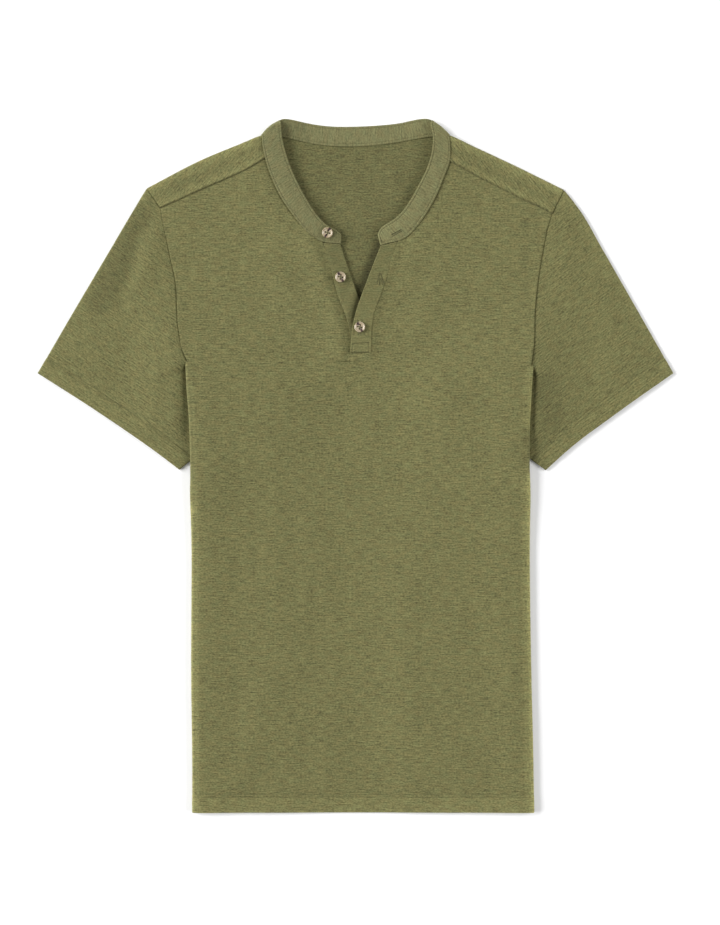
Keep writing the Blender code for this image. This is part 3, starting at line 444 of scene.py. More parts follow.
# ---------------------------------------------------------------- sizes and colours
def size_property(name, description, default, least=0.0):
    """A length whose values are given in millimetres."""
    return FloatProperty(name=name, description=description, default=default * MM,
                         min=least * MM, unit="LENGTH")


def colour_property(name, description, default):
    return FloatVectorProperty(name=name, description=description, default=default,
                               size=3, min=0.0, max=1.0, subtype="COLOR")


def power_property(name, description, default):
    return FloatProperty(name=name, description=description, default=default, min=0.0,
                         unit="POWER")


class HenleySizes(bpy.types.PropertyGroup):
    """Sizes of the finish that a user would change."""

    edge_round: size_property("Edge round", "Rounding of a single layer's raw edge", 0.42)
    button_diameter: size_property("Button", "Diameter of a button", 11.1, 5.0)
    button_thick: size_property("Button thickness", "Thickness of a button", 2.4, 1.0)


class HenleyColours(bpy.types.PropertyGroup):
    """Colours of the cloth, thread and buttons, as linear values."""

    jersey: colour_property("Jersey", "Mean colour of the heather jersey",
                            (0.1390, 0.1330, 0.0530))
    trim: colour_property("Trim", "Mean colour of the neck band",
                          (0.1580, 0.1520, 0.0680))
    placket: colour_property("Placket", "Mean colour of the plackets",
                             (0.1390, 0.1335, 0.0535))
    thread: colour_property("Thread", "Colour of the sewing thread",
                            (0.095, 0.092, 0.036))
    horn: colour_property("Horn", "Light colour of the buttons", (0.400, 0.335, 0.230))
    horn_dark: colour_property("Horn streaks", "Dark colour of the buttons' streaks",
                               (0.040, 0.020, 0.020))


class HenleyStage(bpy.types.PropertyGroup):
    """Studio light and camera."""

    camera_height: size_property("Camera height", "Height of the camera over the floor",
                                 2250.6, 500.0)
    key_power: power_property("Key light", "Power of the softbox on the left", 2330.0)
    fill_power: power_property("Fill light", "Power of the softbox on the right", 812.0)
    top_power: power_property("Top light", "Power of the softbox overhead", 12.4)
    room_light: FloatProperty(
        name="Room light", description="Strength of the white surroundings",
        default=0.206, min=0.0)


def sizes():
    return bpy.context.scene.henley_sizes


def colours():
    return bpy.context.scene.henley_colours


def stage():
    return bpy.context.scene.henley_stage


# ---------------------------------------------------------------- small helpers
Rib = namedtuple("Rib", "seam edge")       # a line across a strip


def plan(points):
    """Points of a table as vectors in the plan."""
    return [Vector(point[:2]) for point in points]


def flat(point):
    return Vector((point.x, point.y))


def smooth(value):
    """Soft step from 0 to 1."""
    value = min(max(value, 0.0), 1.0)
    return value * value * (3.0 - 2.0 * value)


def even(count):
    return [index / count for index in range(count + 1)]


def graded(length, start, end, count):
    """Fractions of a length: close ones at its start and end, even ones between.

    `start` and `end` are distances in millimetres from the two ends.
    """
    low = [distance / length for distance in start]
    high = [1.0 - distance / length for distance in reversed(end)]
    gap = high[0] - low[-1]
    return low + [low[-1] + gap * step for step in even(count)[1:-1]] + high


def reached_along(line):
    """How far along a line each of its points is."""
    reached = [0.0]
    for start, end in zip(line, line[1:]):
        reached.append(reached[-1] + (end - start).length)
    return reached


def length_of(line):
    return reached_along(line)[-1]


def length_steps(line):
    """Each point's fraction of the length of a line."""
    length = length_of(line)
    return [place / length for place in reached_along(line)]


def thinned(line, step):
    """A line with one point in `step` kept, and its last one."""
    return line[::step] + [line[-1]]


def level_with(line, y):
    """The point of a line that is nearest to a height of the plan."""
    return min(line, key=lambda station: abs(station.y - y))


def smooth_curve(points):
    """Fine points along a smooth curve through points that may be unevenly spaced."""
    spans = [(end - start).length for start, end in zip(points, points[1:])]
    slopes = [(end - start) / span for start, end, span in zip(points, points[1:], spans)]
    tangents = [slopes[0]]
    for before, after, span_before, span_after in zip(slopes, slopes[1:], spans, spans[1:]):
        tangents.append((before * span_after + after * span_before)
                        / (span_before + span_after))
    tangents.append(slopes[-1])
    fine = [points[0]]
    for index, span in enumerate(spans):
        for part in range(1, CURVE_PARTS + 1):
            t = part / CURVE_PARTS
            leave = tangents[index] * span * (t ** 3 - 2 * t ** 2 + t)
            arrive = tangents[index + 1] * span * (t ** 3 - t ** 2)
            fine.append(points[index].lerp(points[index + 1], smooth(t)) + leave + arrive)
    return fine


def along(line, steps, partner=None):
    """Points at fractions of a line's length, or pairs with the partner's points."""
    places = length_steps(line)
    found = []
    index = 0
    for step in steps:
        while index < len(line) - 2 and places[index + 1] < step:
            index += 1
        part = (step - places[index]) / (places[index + 1] - places[index])
        point = line[index].lerp(line[index + 1], part)
        if partner:
            point = Rib(point, partner[index].lerp(partner[index + 1], part))
        found.append(point)
    return found


def smooth_path(points, steps):
    return along(smooth_curve(points), steps)


def straight(start, end, steps):
    return [start.lerp(end, step) for step in steps]


def fill(bottom, top, left, right):
    """Grid between four edges (a Coons patch); its rows run from bottom to top."""
    across = length_steps(bottom)
    up = length_steps(left)
    rows = []
    for j, v in enumerate(up):
        row = []
        for i, u in enumerate(across):
            ruled_up = bottom[i].lerp(top[i], v)
            ruled_across = left[j].lerp(right[j], u)
            corners = bottom[0].lerp(bottom[-1], u).lerp(top[0].lerp(top[-1], u), v)
            row.append(ruled_up + ruled_across - corners)
        rows.append(row)
    return rows


def follow_top(rows, count):
    """Set a grid's last rows evenly between the row under them and the top row."""
    up = length_steps(column_of(rows, 0))
    first = len(rows) - 1 - count
    for j in range(first + 1, len(rows) - 1):
        share = (up[j] - up[first]) / (1.0 - up[first])
        rows[j] = [low.lerp(top, share) for low, top in zip(rows[first], rows[-1])]
    return rows


def lay_line(line, height):
    """Lift a line of the plan to the height that `height(point)` gives."""
    return [Vector((p.x, p.y, height(p))) for p in line]


def lay(rows, height):
    """Lift a plan grid in the same way."""
    return [lay_line(row, height) for row in rows]


def column_of(rows, column):
    """Points of a grid's column."""
    return [row[column] for row in rows]


def turn_over(upper, lower, outward, steps):
    """Rows of the rounded fold from the line `upper` to the line `lower` under it."""
    rows = []
    for step in even(steps):
        row = []
        for high, low, out in zip(upper, lower, outward):
            centre = (high + low) / 2
            reach = (high - low) / 2
            row.append(centre + reach * cos(pi * step)
                       + out * reach.length * sin(pi * step))
        rows.append(row)
    return rows


def beyond(point, start, end, side):
    """How far `point` lies past the line from `start` to `end`, on its `side`."""
    run = (end - start).normalized()
    offset = point - start
    return side * (run.x * offset.y - run.y * offset.x)


def both_past(first, second):
    """Distance outside a corner that two lines make, rounded at the corner."""
    if first > 0.0 and second > 0.0:
        return (first ** 2 + second ** 2) ** 0.5
    return max(first, second)


def distance_to(point, line):
    """Shortest distance from a point to a chain of points."""
    nearest = []
    for start, end in zip(line, line[1:]):
        run = end - start
        if run.length_squared == 0.0:
            continue
        t = min(max((point - start).dot(run) / run.length_squared, 0.0), 1.0)
        nearest.append((point - start - run * t).length)
    return min(nearest)


def relief(distance, table):
    """Height at a distance, eased between the rows of a relief table."""
    if distance >= table[-1][0]:
        return table[-1][1]
    for (near, low), (far, high) in zip(table, table[1:]):
        if distance <= far:
            return low + (high - low) * smooth((distance - near) / (far - near))


def relief_beside(point, line, table):
    """Height at a point beside a line, from a relief table."""
    return relief(distance_to(point, line), table)


def ridge(point, folds):
    """Height that the soft folds of a table add at a point of the plan."""
    height = 0.0
    for x0, y0, x1, y1, half_width, rise in folds:
        start, end = Vector((x0, y0)), Vector((x1, y1))
        away = distance_to(point, (start, end)) / half_width
        if away >= 1.0:
            continue
        middle = (point - (start + end) / 2).length
        middle /= (end - start).length / 2 + half_width
        height += rise * (1.0 - smooth(away)) * (1.0 - FOLD_TAPER * min(middle, 1.0))
    return height


# ---------------------------------------------------------------- ribs of the strips
def free_edge(rows):
    """Free edge of a strip in the plan, from its rib table."""
    return [Vector(row[3:5]) for row in rows]


def rib_lines(rows):
    """Smooth curves through a rib table's seam ends and edge ends."""
    seam = smooth_curve([Vector(row[:3]) for row in rows])
    edge = smooth_curve([Vector(row[3:]) for row in rows])
    return seam, edge


def ribs_between(rows, first, last, steps):
    """Ribs at fractions of the seam's length between two rows of a rib table."""
    seam, edge = rib_lines(rows)
    stretch = slice(first * CURVE_PARTS, last * CURVE_PARTS + 1)
    return along(seam[stretch], steps, edge[stretch])


def beside(rib, gap=SEAM_GAP):
    """Where the panel that is sewn to a strip ends, beside one of its ribs."""
    seam, edge = flat(rib.seam), flat(rib.edge)
    return seam + (seam - edge).normalized() * gap


# ---------------------------------------------------------------- plan of one half
FRONT_FOLD_RADIUS = 1.5 * PITCH
FOLD_INSET = FRONT_FOLD_RADIUS + WALL / 2
EDGE_INSET = PITCH / 2 + WALL / 2
ARMHOLE_LENGTH = 152.0
CENTRE_WIDTH = 90.0
YOKE_LENGTH = 36.0
SLEEVE_LENGTH = 200.0
TUCK_STEPS = graded(TUCK_WIDTH, SEAM_ROWS, (0.0,), 18)
CENTRE_STEPS = graded(CENTRE_WIDTH, (0.0,), SEAM_ROWS, 26)
UPPER_STEPS = graded(ARMHOLE_LENGTH, SLIT_ROWS[:8], SEAM_ROWS, 34)
YOKE_STEPS = graded(YOKE_LENGTH, SEAM_ROWS, (0.0,), 10)
SLEEVE_STEPS = graded(SLEEVE_LENGTH, SEAM_ROWS, (0.0,), 60)
SLIT_STEPS = even(6)
LOWER_COUNT = 56


def backwards(steps):
    return [1.0 - step for step in reversed(steps)]


def lower_steps(length):
    """Rows of the lower body along an edge of this length."""
    return graded(length, HEM_ROWS, SLIT_ROWS, LOWER_COUNT)


class HalfPlan:
    """Seam lines and fold lines of one half of the shirt, as points in the plan."""

    def __init__(self, half, band_rows, placket_rows):
        self.sign = half.sign
        self.table = half
        self.band_rows = band_rows
        inward = Vector((-half.sign, 0.0))

        fold = smooth_curve([p + inward * FOLD_INSET for p in plan(half.fold_line)])
        self.fold = along(fold, lower_steps(length_of(fold)))
        self.corner = self.fold[-1]
        self.armpit = Vector(half.armpit)
        self.underarm_end = Vector(half.sleeve_hem[-1])
        self.sleeve_outer = plan(half.sleeve_outer)
        hem_end = self.fold[0] + inward * TUCK_WIDTH
        seam_length = (self.armpit - hem_end).length
        self.side_seam = straight(hem_end, self.armpit, lower_steps(seam_length))
        sagging = self.corner.lerp(self.armpit, TUCK_TOP_SAG_AT)
        sagging.y -= TUCK_TOP_SAG
        self.tuck_top = smooth_path([self.corner, sagging, self.armpit], TUCK_STEPS)
        self.tuck = fill(straight(self.fold[0], hem_end, TUCK_STEPS), self.tuck_top,
                         self.fold, self.side_seam)

        self.yoke_neck = [beside(rib) for rib in
                          ribs_between(band_rows, ROW_AT_SEAM, ROW_AT_TURN, YOKE_STEPS)]
        neck_ribs = ribs_between(band_rows, ROW_AT_SLIT, ROW_AT_SEAM,
                                 backwards(CENTRE_STEPS))
        self.neckline = [beside(rib) for rib in reversed(neck_ribs)]
        placket_ribs = ribs_between(placket_rows, 0, len(placket_rows) - 1, UPPER_STEPS)
        self.slit = [beside(rib, TUCKED_GAP) for rib in placket_ribs]
        self.slit[0].y = SLIT_BOTTOM_Y - TUCKED_GAP
        self.slit[-1] = self.neckline[-1] + inward * -SEAM_GAP
        self.neckline[-1] = self.slit[-1]

        shoulder_point = Vector(half.shoulder_point)
        neck_end = self.yoke_neck[-1]
        run = (neck_end - shoulder_point).normalized()
        self.shoulder_out = Vector((half.sign * run.y, -half.sign * run.x))
        top_corner = shoulder_point - self.shoulder_out * EDGE_INSET
        crest = top_corner.lerp(neck_end, SHOULDER_CREST_AT)
        crest += self.shoulder_out * half.shoulder_crest
        self.shoulder = smooth_path([top_corner, crest, neck_end], TUCK_STEPS)
        self.forward_seam = smooth_path(plan(half.forward_seam) + [self.yoke_neck[0]],
                                        TUCK_STEPS)
        self.armhole = smooth_path([self.corner] + plan(half.armhole), UPPER_STEPS)
        self.armhole_top = straight(self.armhole[-1], top_corner, YOKE_STEPS)
        self.armhole_line = ([self.corner] + plan(half.armhole[:-1])
                             + [self.armhole[-1], top_corner])
        # Coarser copies of some lines, for measuring distances to them.
        self.seam_line = thinned(self.forward_seam, 3)
        self.shoulder_line = thinned(self.shoulder, 4)
        self.neck_line = thinned(self.neckline, 2)
        self.collar_line = thinned(self.neckline, 5)
        self.slit_line = thinned(self.slit, 3)

    def over_tuck(self, point, fall):
        """1 over the folded-in side, down to 0 in the distance `fall` beyond it."""
        past_seam = beyond(point, self.side_seam[0], self.armpit, self.sign)
        past_top = beyond(point, self.corner, self.armpit, -self.sign)
        return 1.0 - smooth(both_past(past_seam, past_top) / fall)

    def over_sleeve(self, point, fall):
        """1 over the part of the sleeve that lies behind the body, then down to 0."""
        past_top = beyond(point, self.corner, self.armpit, -self.sign)
        past_low = beyond(point, self.underarm_end, self.armpit, self.sign)
        past_in = self.sign * (self.armpit.x - point.x)
        past = both_past(both_past(past_top, past_low), past_in)
        return 1.0 - smooth((past - SLEEVE_MARGIN) / fall)


HALVES = (HalfPlan(LEFT, BAND_LEFT, UNDERLAP), HalfPlan(RIGHT, BAND_RIGHT, OVERLAP))
OVERLAP_SEAM = plan(OVERLAP)


def side_of(point):
    """The half of the shirt that a point is in."""
    return HALVES[0] if point.x < 0 else HALVES[1]


# ---------------------------------------------------------------- height rules
def body_hem(point):
    """Relief of the body's turned hem."""
    return relief(point.y - BODY_HEM_Y, HEM_RELIEF)


def slit_foot(point):
    """Relief below the foot of the overlap."""
    foot = [half.slit[0] for half in HALVES]
    return relief_beside(point, foot, SLIT_FOOT_RELIEF)


def tuck_outer_height(point):
    """Front's folded-in strip, the lowest layer of the side."""
    return FLOOR_LAYER + SLEEVE_RISE * side_of(point).over_sleeve(point, SLEEVE_FALL)


def tuck_inner_height(point):
    """Back's folded-in strip, on the front's."""
    return tuck_outer_height(point) + PITCH


def body_height(point, tuck_fall, sleeve_fall):
    """A layer that lies over the floor, the folded-in sides and the sleeves' ends."""
    half = side_of(point)
    return (FLOOR_LAYER + TUCK_RISE * half.over_tuck(point, tuck_fall)
            + SLEEVE_RISE * half.over_sleeve(point, sleeve_fall))


def back_height(point):
    """Back panel where it is the body's lower layer."""
    return body_height(point, TUCK_FALL, SLEEVE_FALL) + ridge(point, BACK_FOLDS)


def top_height(point):
    """Front panel, and the part of the back that comes over the shoulders."""
    neck_end = side_of(point).shoulder[-1]
    near_neck = 1.0 - smooth((point - neck_end).length / NECK_LIFT_REACH)
    near_band = 0.0
    if point.y > COLLAR_FROM_Y:
        near_band = 1.0 - smooth(distance_to(point, side_of(point).collar_line)
                                 / COLLAR_REACH)
    return (body_height(point, FRONT_TUCK_FALL, FRONT_SLEEVE_FALL) + PITCH
            + NECK_LIFT * near_neck + COLLAR_LIFT * near_band)


def from_side_fold(point):
    """How far a point lies in from its half's side fold."""
    half = side_of(point)
    return half.sign * (level_with(half.fold, point.y).x - point.x)


def side_roll(point):
    """Swell of the front beside its side folds."""
    past_corner = (point.y - side_of(point).corner.y) / SIDE_ROLL_FADE + 1.0
    return relief(from_side_fold(point), SIDE_ROLL) * (1.0 - smooth(past_corner))


def edge_fade(point):
    """0 at the side folds, where the front has no folds of its own, 1 further in."""
    if point.y > side_of(point).corner.y:
        return 1.0
    return smooth(from_side_fold(point) / FOLD_FADE)


def slit_lift(point):
    """Rise of the front beside the overlap, which lies on the underlap."""
    if point.x < 0:
        return 0.0
    near = 1.0 - smooth(distance_to(point, OVERLAP_SEAM) / SLIT_LIFT_REACH)
    return SLIT_LIFT * near * (1.0 - smooth((point.y - SLIT_LIFT_TOP_Y) / SLIT_LIFT_FADE))


def front_height(point):
    """Front panel with its slack, its folds and its rise at the placket."""
    loft = smooth((point.y - LOFT_FROM_Y) / (LOFT_TO_Y - LOFT_FROM_Y))
    loft *= 1.0 - smooth((point.y - LOFT_END_Y) / LOFT_END_FADE)
    ease = FRONT_EASE * smooth((point.y - BODY_HEM_Y) / EASE_HEM_RUN)
    ease *= 1.0 - smooth((point.y - LOFT_END_Y) / LOFT_END_FADE)
    folds = (ridge(point, FRONT_FOLDS) + ease) * edge_fade(point)
    return (top_height(point) + FRONT_LOFT * loft + folds + slit_lift(point)
            + side_roll(point))


def front_finish(point):
    """Front's height with the relief of its hem and seams."""
    half = side_of(point)
    height = front_height(point) + body_hem(point) + slit_foot(point)
    if point.y > half.corner.y:
        height += relief_beside(point, half.armhole_line, ARMHOLE_RELIEF)
        height += relief_beside(point, half.seam_line, PLAIN_RELIEF)
        height += relief_beside(point, half.neck_line, BAND_SIDE_RELIEF)
        height += relief_beside(point, half.slit_line, SLIT_SIDE_RELIEF[half.sign])
    return height


def yoke_finish(point):
    """The back's stretch in front of the shoulder, raised along the shoulder seam."""
    half = side_of(point)
    return (top_height(point) + relief_beside(point, half.seam_line, YOKE_RELIEF)
            + relief_beside(point, half.armhole_line[-2:], ARMHOLE_RELIEF)
            + relief_beside(point, half.yoke_neck, BAND_SIDE_RELIEF))


def seam_lift(point, body, layer, most, reach):
    """Rise of a sleeve's layer towards the body's armhole edge, which is at `body`."""
    half = side_of(point)
    corner = half.corner
    outside = max(half.sign * (point.x - level_with(half.armhole, point.y).x), 0.0)
    above = smooth((point.y - corner.y + SEAM_LIFT_START + SEAM_LIFT_DROP * outside)
                   / (SEAM_LIFT_RUN + SEAM_LIFT_SPREAD * outside))
    rise = min(body(Vector((corner.x, point.y))) - layer, most)
    far = min(outside / reach, 1.0)
    fall_at_once = 1.0 - (1.0 - far) ** 2
    drape = half.table.drape
    fall = smooth(far) * (1.0 - drape) + fall_at_once * drape
    return above * rise * (1.0 - fall)


def trench_swell(point):
    """Rise of the sleeve beyond the trench that lies along the body's side fold."""
    half = side_of(point)
    bottom, top = plan(half.table.trench)
    past = half.sign * (point.x - bottom.lerp(top, (point.y - bottom.y)
                                              / (top.y - bottom.y)).x)
    wall = half.table.trench_wall
    share = 1.0 - (1.0 - min(max(past / wall, 0.0), 1.0)) ** 2
    share *= relief(max(past - wall, 0.0), SWELL_RELIEF)
    share *= smooth((point.y - bottom.y) / TRENCH_FADE + 1.0)
    share *= 1.0 - smooth((point.y - top.y) / TRENCH_FADE)
    return half.table.trench_depth * share


def sleeve_back_height(point):
    """A sleeve's lower layer."""
    return FLOOR_LAYER + seam_lift(point, back_height, FLOOR_LAYER, BACK_SEAM_LIFT,
                                   BACK_SEAM_REACH)


def sleeve_front_height(point):
    """A sleeve's upper layer with its folds."""
    half = side_of(point)
    outside = half.sign * (point.x - half.corner.x) - SLEEVE_FOLD_START
    folds = smooth(outside / SLEEVE_FOLD_RUN) * ridge(point, SLEEVE_FOLDS)
    folds *= smooth(distance_to(point, half.sleeve_outer) / SLEEVE_EDGE_FADE)
    return SECOND_LAYER + folds + seam_lift(point, front_height, SECOND_LAYER,
                                            FRONT_SEAM_LIFT, FRONT_SEAM_REACH)


# ---------------------------------------------------------------- node building
def plug(socket, value):
    """Link an input to an output, or give it a value."""
    if isinstance(value, bpy.types.NodeSocket):
        socket.id_data.links.new(value, socket)
    else:
        socket.default_value = value


def add_node(tree, kind, inputs=None, **settings):
    """A shader node with its settings, its inputs linked or given values."""
    made = tree.nodes.new(kind)
    for name, value in settings.items():
        setattr(made, name, value)
    for key, value in (inputs or {}).items():
        plug(made.inputs[key], value)
    return made


def maths(tree, operation, *values):
    """Result of a Math node."""
    return add_node(tree, "ShaderNodeMath", dict(enumerate(values)),
                    operation=operation).outputs[0]


def centred(tree, value, gain):
    """A noise value, whose middle is a half, as a swing to both sides of nought."""
    return maths(tree, "MULTIPLY", maths(tree, "SUBTRACT", value, 0.5), gain)


def grey(level):
    return (level, level, level, 1.0)


def mix_colour(tree, factor, first, second, blend="MIX"):
    """Colour result of a Mix node."""
    made = add_node(tree, "ShaderNodeMix", data_type="RGBA", blend_type=blend)
    for name, value in (("Factor_Float", factor), ("A_Color", first), ("B_Color", second)):
        plug(next(s for s in made.inputs if s.identifier == name), value)
    return next(s for s in made.outputs if s.identifier == "Result_Color")


def multiplied(tree, first, second):
    return mix_colour(tree, 1.0, first, second, "MULTIPLY")


def ranged(tree, value, low, high, to_low=0.0, to_high=1.0, soft=False):
    """A value mapped from one range to another, held inside it."""
    inputs = dict(enumerate((value, low, high, to_low, to_high)))
    return add_node(tree, "ShaderNodeMapRange", inputs, clamp=True,
                    interpolation_type="SMOOTHSTEP" if soft else "LINEAR").outputs[0]


SEED_SKEW = 0.7


def noise(tree, vector, cell, detail, seed):
    """Noise whose features are `cell` millimetres along and across the courses."""
    place = add_node(tree, "ShaderNodeMapping", {
        "Vector": vector, "Location": (seed, seed * SEED_SKEW, 0.0),
        "Scale": (1.0 / (cell[0] * MM), 1.0 / (cell[1] * MM), 1.0)})
    made = add_node(tree, "ShaderNodeTexNoise", {
        "Vector": place.outputs[0], "Scale": 1.0, "Detail": detail, "Roughness": 0.5})
    return made.outputs[0]


def new_group(name, inputs, outputs):
    """A shader node group with the given sockets, and its two end nodes."""
    tree = bpy.data.node_groups.new(name, "ShaderNodeTree")
    for label, kind in inputs:
        tree.interface.new_socket(label, in_out="INPUT", socket_type=kind)
    for label, kind in outputs:
        tree.interface.new_socket(label, in_out="OUTPUT", socket_type=kind)
    return tree, tree.nodes.new("NodeGroupInput"), tree.nodes.new("NodeGroupOutput")


CONTRAST = 1.42
TRIM_CONTRAST = 1.0
# Flecks, drawn yarns and broad mottle. Columns: cell along and across the courses,
# detail, seed, share of the tone.
HEATHER_LAYERS = (
    ((2.2, 1.3), 1.0, 0.0, 1.0),
    ((10.0, 1.3), 0.0, 3.1, 0.55),
    ((38.0, 26.0), 1.0, 5.7, 0.12),
)
HUE_NOISE = ((9.0, 5.5), 1.0, 9.3)         # cell, detail, seed
HUE_RANGE = (0.3, 0.7)
HUE_TINTS = ((0.967, 1.013, 1.02, 1.0), (1.033, 0.987, 0.975, 1.0))
FLECK_TONES = (grey(0.45), grey(1.55))     # of the darkest and the lightest fleck
LOOP_PAINTED_SHADING = (grey(0.86), grey(1.07))      # painted shade between the loops and painted highlight on them
FUZZ_NOISE = ((0.7, 0.5), 2.0, 1.3)
FUZZ_SHARE = 0.5                           # of the fuzz, next to the loops' height
FUZZ_ROUGHNESS = (0.2, 0.8, 0.82, 1.0)     # the fuzz from and to, roughness from and to
PAINTED_SHADING_FACING = (-0.3, 0.2)                   # faces that look down get no painted light or shade
WALE_WIDTH = 0.9
COURSE_HEIGHT = 0.7
KNIT_STRENGTH = 0.25
KNIT_DEPTH = 0.25
SHEEN_TINT = (0.62, 0.62, 0.36, 1.0)


def heather_group():
    """Heather jersey: short flecks along the courses, dyed-fibre hues, knit loops with
    painted shade between them and painted highlight on them.
    """
    name = "heather jersey"
    if name in bpy.data.node_groups:
        return bpy.data.node_groups[name]
    tree, given, result = new_group(
        name,
        (("Grain", "NodeSocketVector"), ("Colour", "NodeSocketColor"),
         ("Contrast", "NodeSocketFloat")),
        (("Color", "NodeSocketColor"), ("Height", "NodeSocketFloat"),
         ("Roughness", "NodeSocketFloat")))
    grain, colour = given.outputs["Grain"], given.outputs["Colour"]
    spread = 0.0
    for cell, detail, seed, share in HEATHER_LAYERS:
        layer = centred(tree, noise(tree, grain, cell, detail, seed), share)
        spread = maths(tree, "ADD", spread, layer)
    tone = maths(tree, "MULTIPLY_ADD", spread, given.outputs["Contrast"], 0.5)
    dark, light = (multiplied(tree, colour, level) for level in FLECK_TONES)
    body = mix_colour(tree, ranged(tree, tone, 0.0, 1.0), dark, light)
    hue = noise(tree, grain, *HUE_NOISE)
    coloured = multiplied(tree, body,
                          mix_colour(tree, ranged(tree, hue, *HUE_RANGE), *HUE_TINTS))

    parts = add_node(tree, "ShaderNodeSeparateXYZ", {0: grain})
    wale = maths(tree, "PINGPONG",
                 maths(tree, "DIVIDE", parts.outputs[0], WALE_WIDTH * MM), 0.5)
    course = maths(tree, "DIVIDE", parts.outputs[1], COURSE_HEIGHT * MM)
    leaning = maths(tree, "MULTIPLY", maths(tree, "ADD", course, wale), pi)
    loop = maths(tree, "ABSOLUTE", maths(tree, "SINE", leaning))
    roundness = maths(tree, "POWER", maths(tree, "MULTIPLY", wale, 2.0), 0.5)
    height = maths(tree, "MULTIPLY", loop, roundness)
    shaded = mix_colour(tree, ranged(tree, height, 0.0, 1.0), *LOOP_PAINTED_SHADING)
    fuzz = noise(tree, grain, *FUZZ_NOISE)
    plug(result.inputs["Color"], multiplied(tree, coloured, shaded))
    plug(result.inputs["Height"],
         maths(tree, "ADD", height, maths(tree, "MULTIPLY", fuzz, FUZZ_SHARE)))
    plug(result.inputs["Roughness"], ranged(tree, fuzz, *FUZZ_ROUGHNESS))
    return tree


def new_material(name, paint):
    """A material whose shader's inputs are what `paint(tree)` gives for its tree."""
    material = bpy.data.materials.new(name)
    material.use_nodes = True
    tree = material.node_tree
    shader = tree.nodes["Principled BSDF"]
    for label, value in paint(tree).items():
        plug(shader.inputs[label], value)
    return material


def jersey_material(name, colour, contrast):
    """Cloth that reads the heather group along its own grain, lighter where painted light
    is laid on and darker where painted shade is.
    """
    def paint(tree):
        grain = add_node(tree, "ShaderNodeUVMap", uv_map="grain").outputs[0]
        group = add_node(tree, "ShaderNodeGroup", node_tree=heather_group())
        for label, value in (("Grain", grain), ("Colour", (*colour, 1.0)),
                             ("Contrast", contrast)):
            plug(group.inputs[label], value)
        bump = add_node(tree, "ShaderNodeBump", {
            "Height": group.outputs["Height"], "Strength": KNIT_STRENGTH,
            "Distance": KNIT_DEPTH * MM})
        # The attribute carries painted light (above nought) and painted shade (below),
        # which scale the colour.
        nap = add_node(tree, "ShaderNodeAttribute", attribute_name="nap").outputs["Fac"]
        facing = add_node(tree, "ShaderNodeNewGeometry").outputs["Normal"]
        upward = add_node(tree, "ShaderNodeSeparateXYZ", {0: facing}).outputs["Z"]
        nap = maths(tree, "MULTIPLY", nap, ranged(tree, upward, *PAINTED_SHADING_FACING))
        lighter = maths(tree, "MULTIPLY_ADD", nap, PAINTED_SHADING_GAIN, 1.0)
        return {"Base Color": multiplied(tree, group.outputs["Color"], lighter),
                "Roughness": group.outputs["Roughness"], "Normal": bump.outputs[0],
                "Specular IOR Level": 0.18, "Sheen Weight": 0.3, "Sheen Roughness": 0.5,
                "Sheen Tint": SHEEN_TINT}

    return new_material(name, paint)


def scaled(colour, *factors):
    """An opaque colour with its parts multiplied by a factor each."""
    return (*(part * factor for part, factor in zip(colour, factors)), 1.0)


PLY_PAINTED_SHADING = (0.8, 1.2)      # painted shade between the plies and painted highlight on them


def thread_material():
    """Spun polyester thread with the twist of its plies, with painted shade between them.
    """
    name = "sewing thread"
    if name in bpy.data.materials:
        return bpy.data.materials[name]

    def paint(tree):
        place = add_node(tree, "ShaderNodeTexCoord").outputs["Object"]
        twist = add_node(tree, "ShaderNodeTexWave", {
            "Vector": place, "Scale": 0.35 / MM, "Distortion": 1.5},
            bands_direction="DIAGONAL").outputs["Fac"]
        low, high = (scaled(colours().thread, *[level] * 3) for level in PLY_PAINTED_SHADING)
        bump = add_node(tree, "ShaderNodeBump", {
            "Height": twist, "Strength": 0.3, "Distance": 0.05 * MM})
        return {"Base Color": mix_colour(tree, twist, low, high),
                "Normal": bump.outputs[0], "Roughness": 0.6, "Specular IOR Level": 0.3}

    return new_material(name, paint)


# ---------------------------------------------------------------- making pieces
def object_from(bm, name, material):
    """A new object that takes the bmesh."""
    mesh = bpy.data.meshes.new(name)
    bm.to_mesh(mesh)
    bm.free()
    obj = bpy.data.objects.new(name, mesh)
    bpy.context.scene.collection.objects.link(obj)
    mesh.materials.append(material)
    mesh.shade_smooth()
    return obj


def plain_grain(point):
    """Courses along X, wales along Y."""
    return point.x, point.y


def turned_grain(angle):
    """Courses along a line at this angle in the plan."""
    run, rise = cos(radians(angle)), sin(radians(angle))
    return lambda point: (point.x * run + point.y * rise, point.y * run - point.x * rise)


def painted_shading_beside(*edges):
    """Painted light and shade near lines, given as (line, strength, relief)."""
    def nap(point):
        spot = flat(point)
        return sum(strength * relief_beside(spot, line, table)
                   for line, strength, table in edges)
    return nap


def inside_painted_shade(point):
    """Painted shade on the back's inside, which the neck shows, deepest beside the
    overlap's free edge.
    """
    shade = relief_beside(flat(point), free_edge(OVERLAP), NECK_PAINTED_SHADE_RELIEF)
    return INSIDE_PAINTED_SHADE + NECK_PAINTED_SHADE * shade


def no_painted_shading(point):
    return 0.0


class Patch:
    """A grid of points in millimetres with the grain's place and the painted light and
    shade at each.
    """

    def __init__(self, rows, grain=plain_grain, nap=no_painted_shading):
        self.rows = rows
        self.nap = nap
        self.grain = grain
        if callable(grain):
            self.grain = [[grain(point) for point in row] for row in rows]


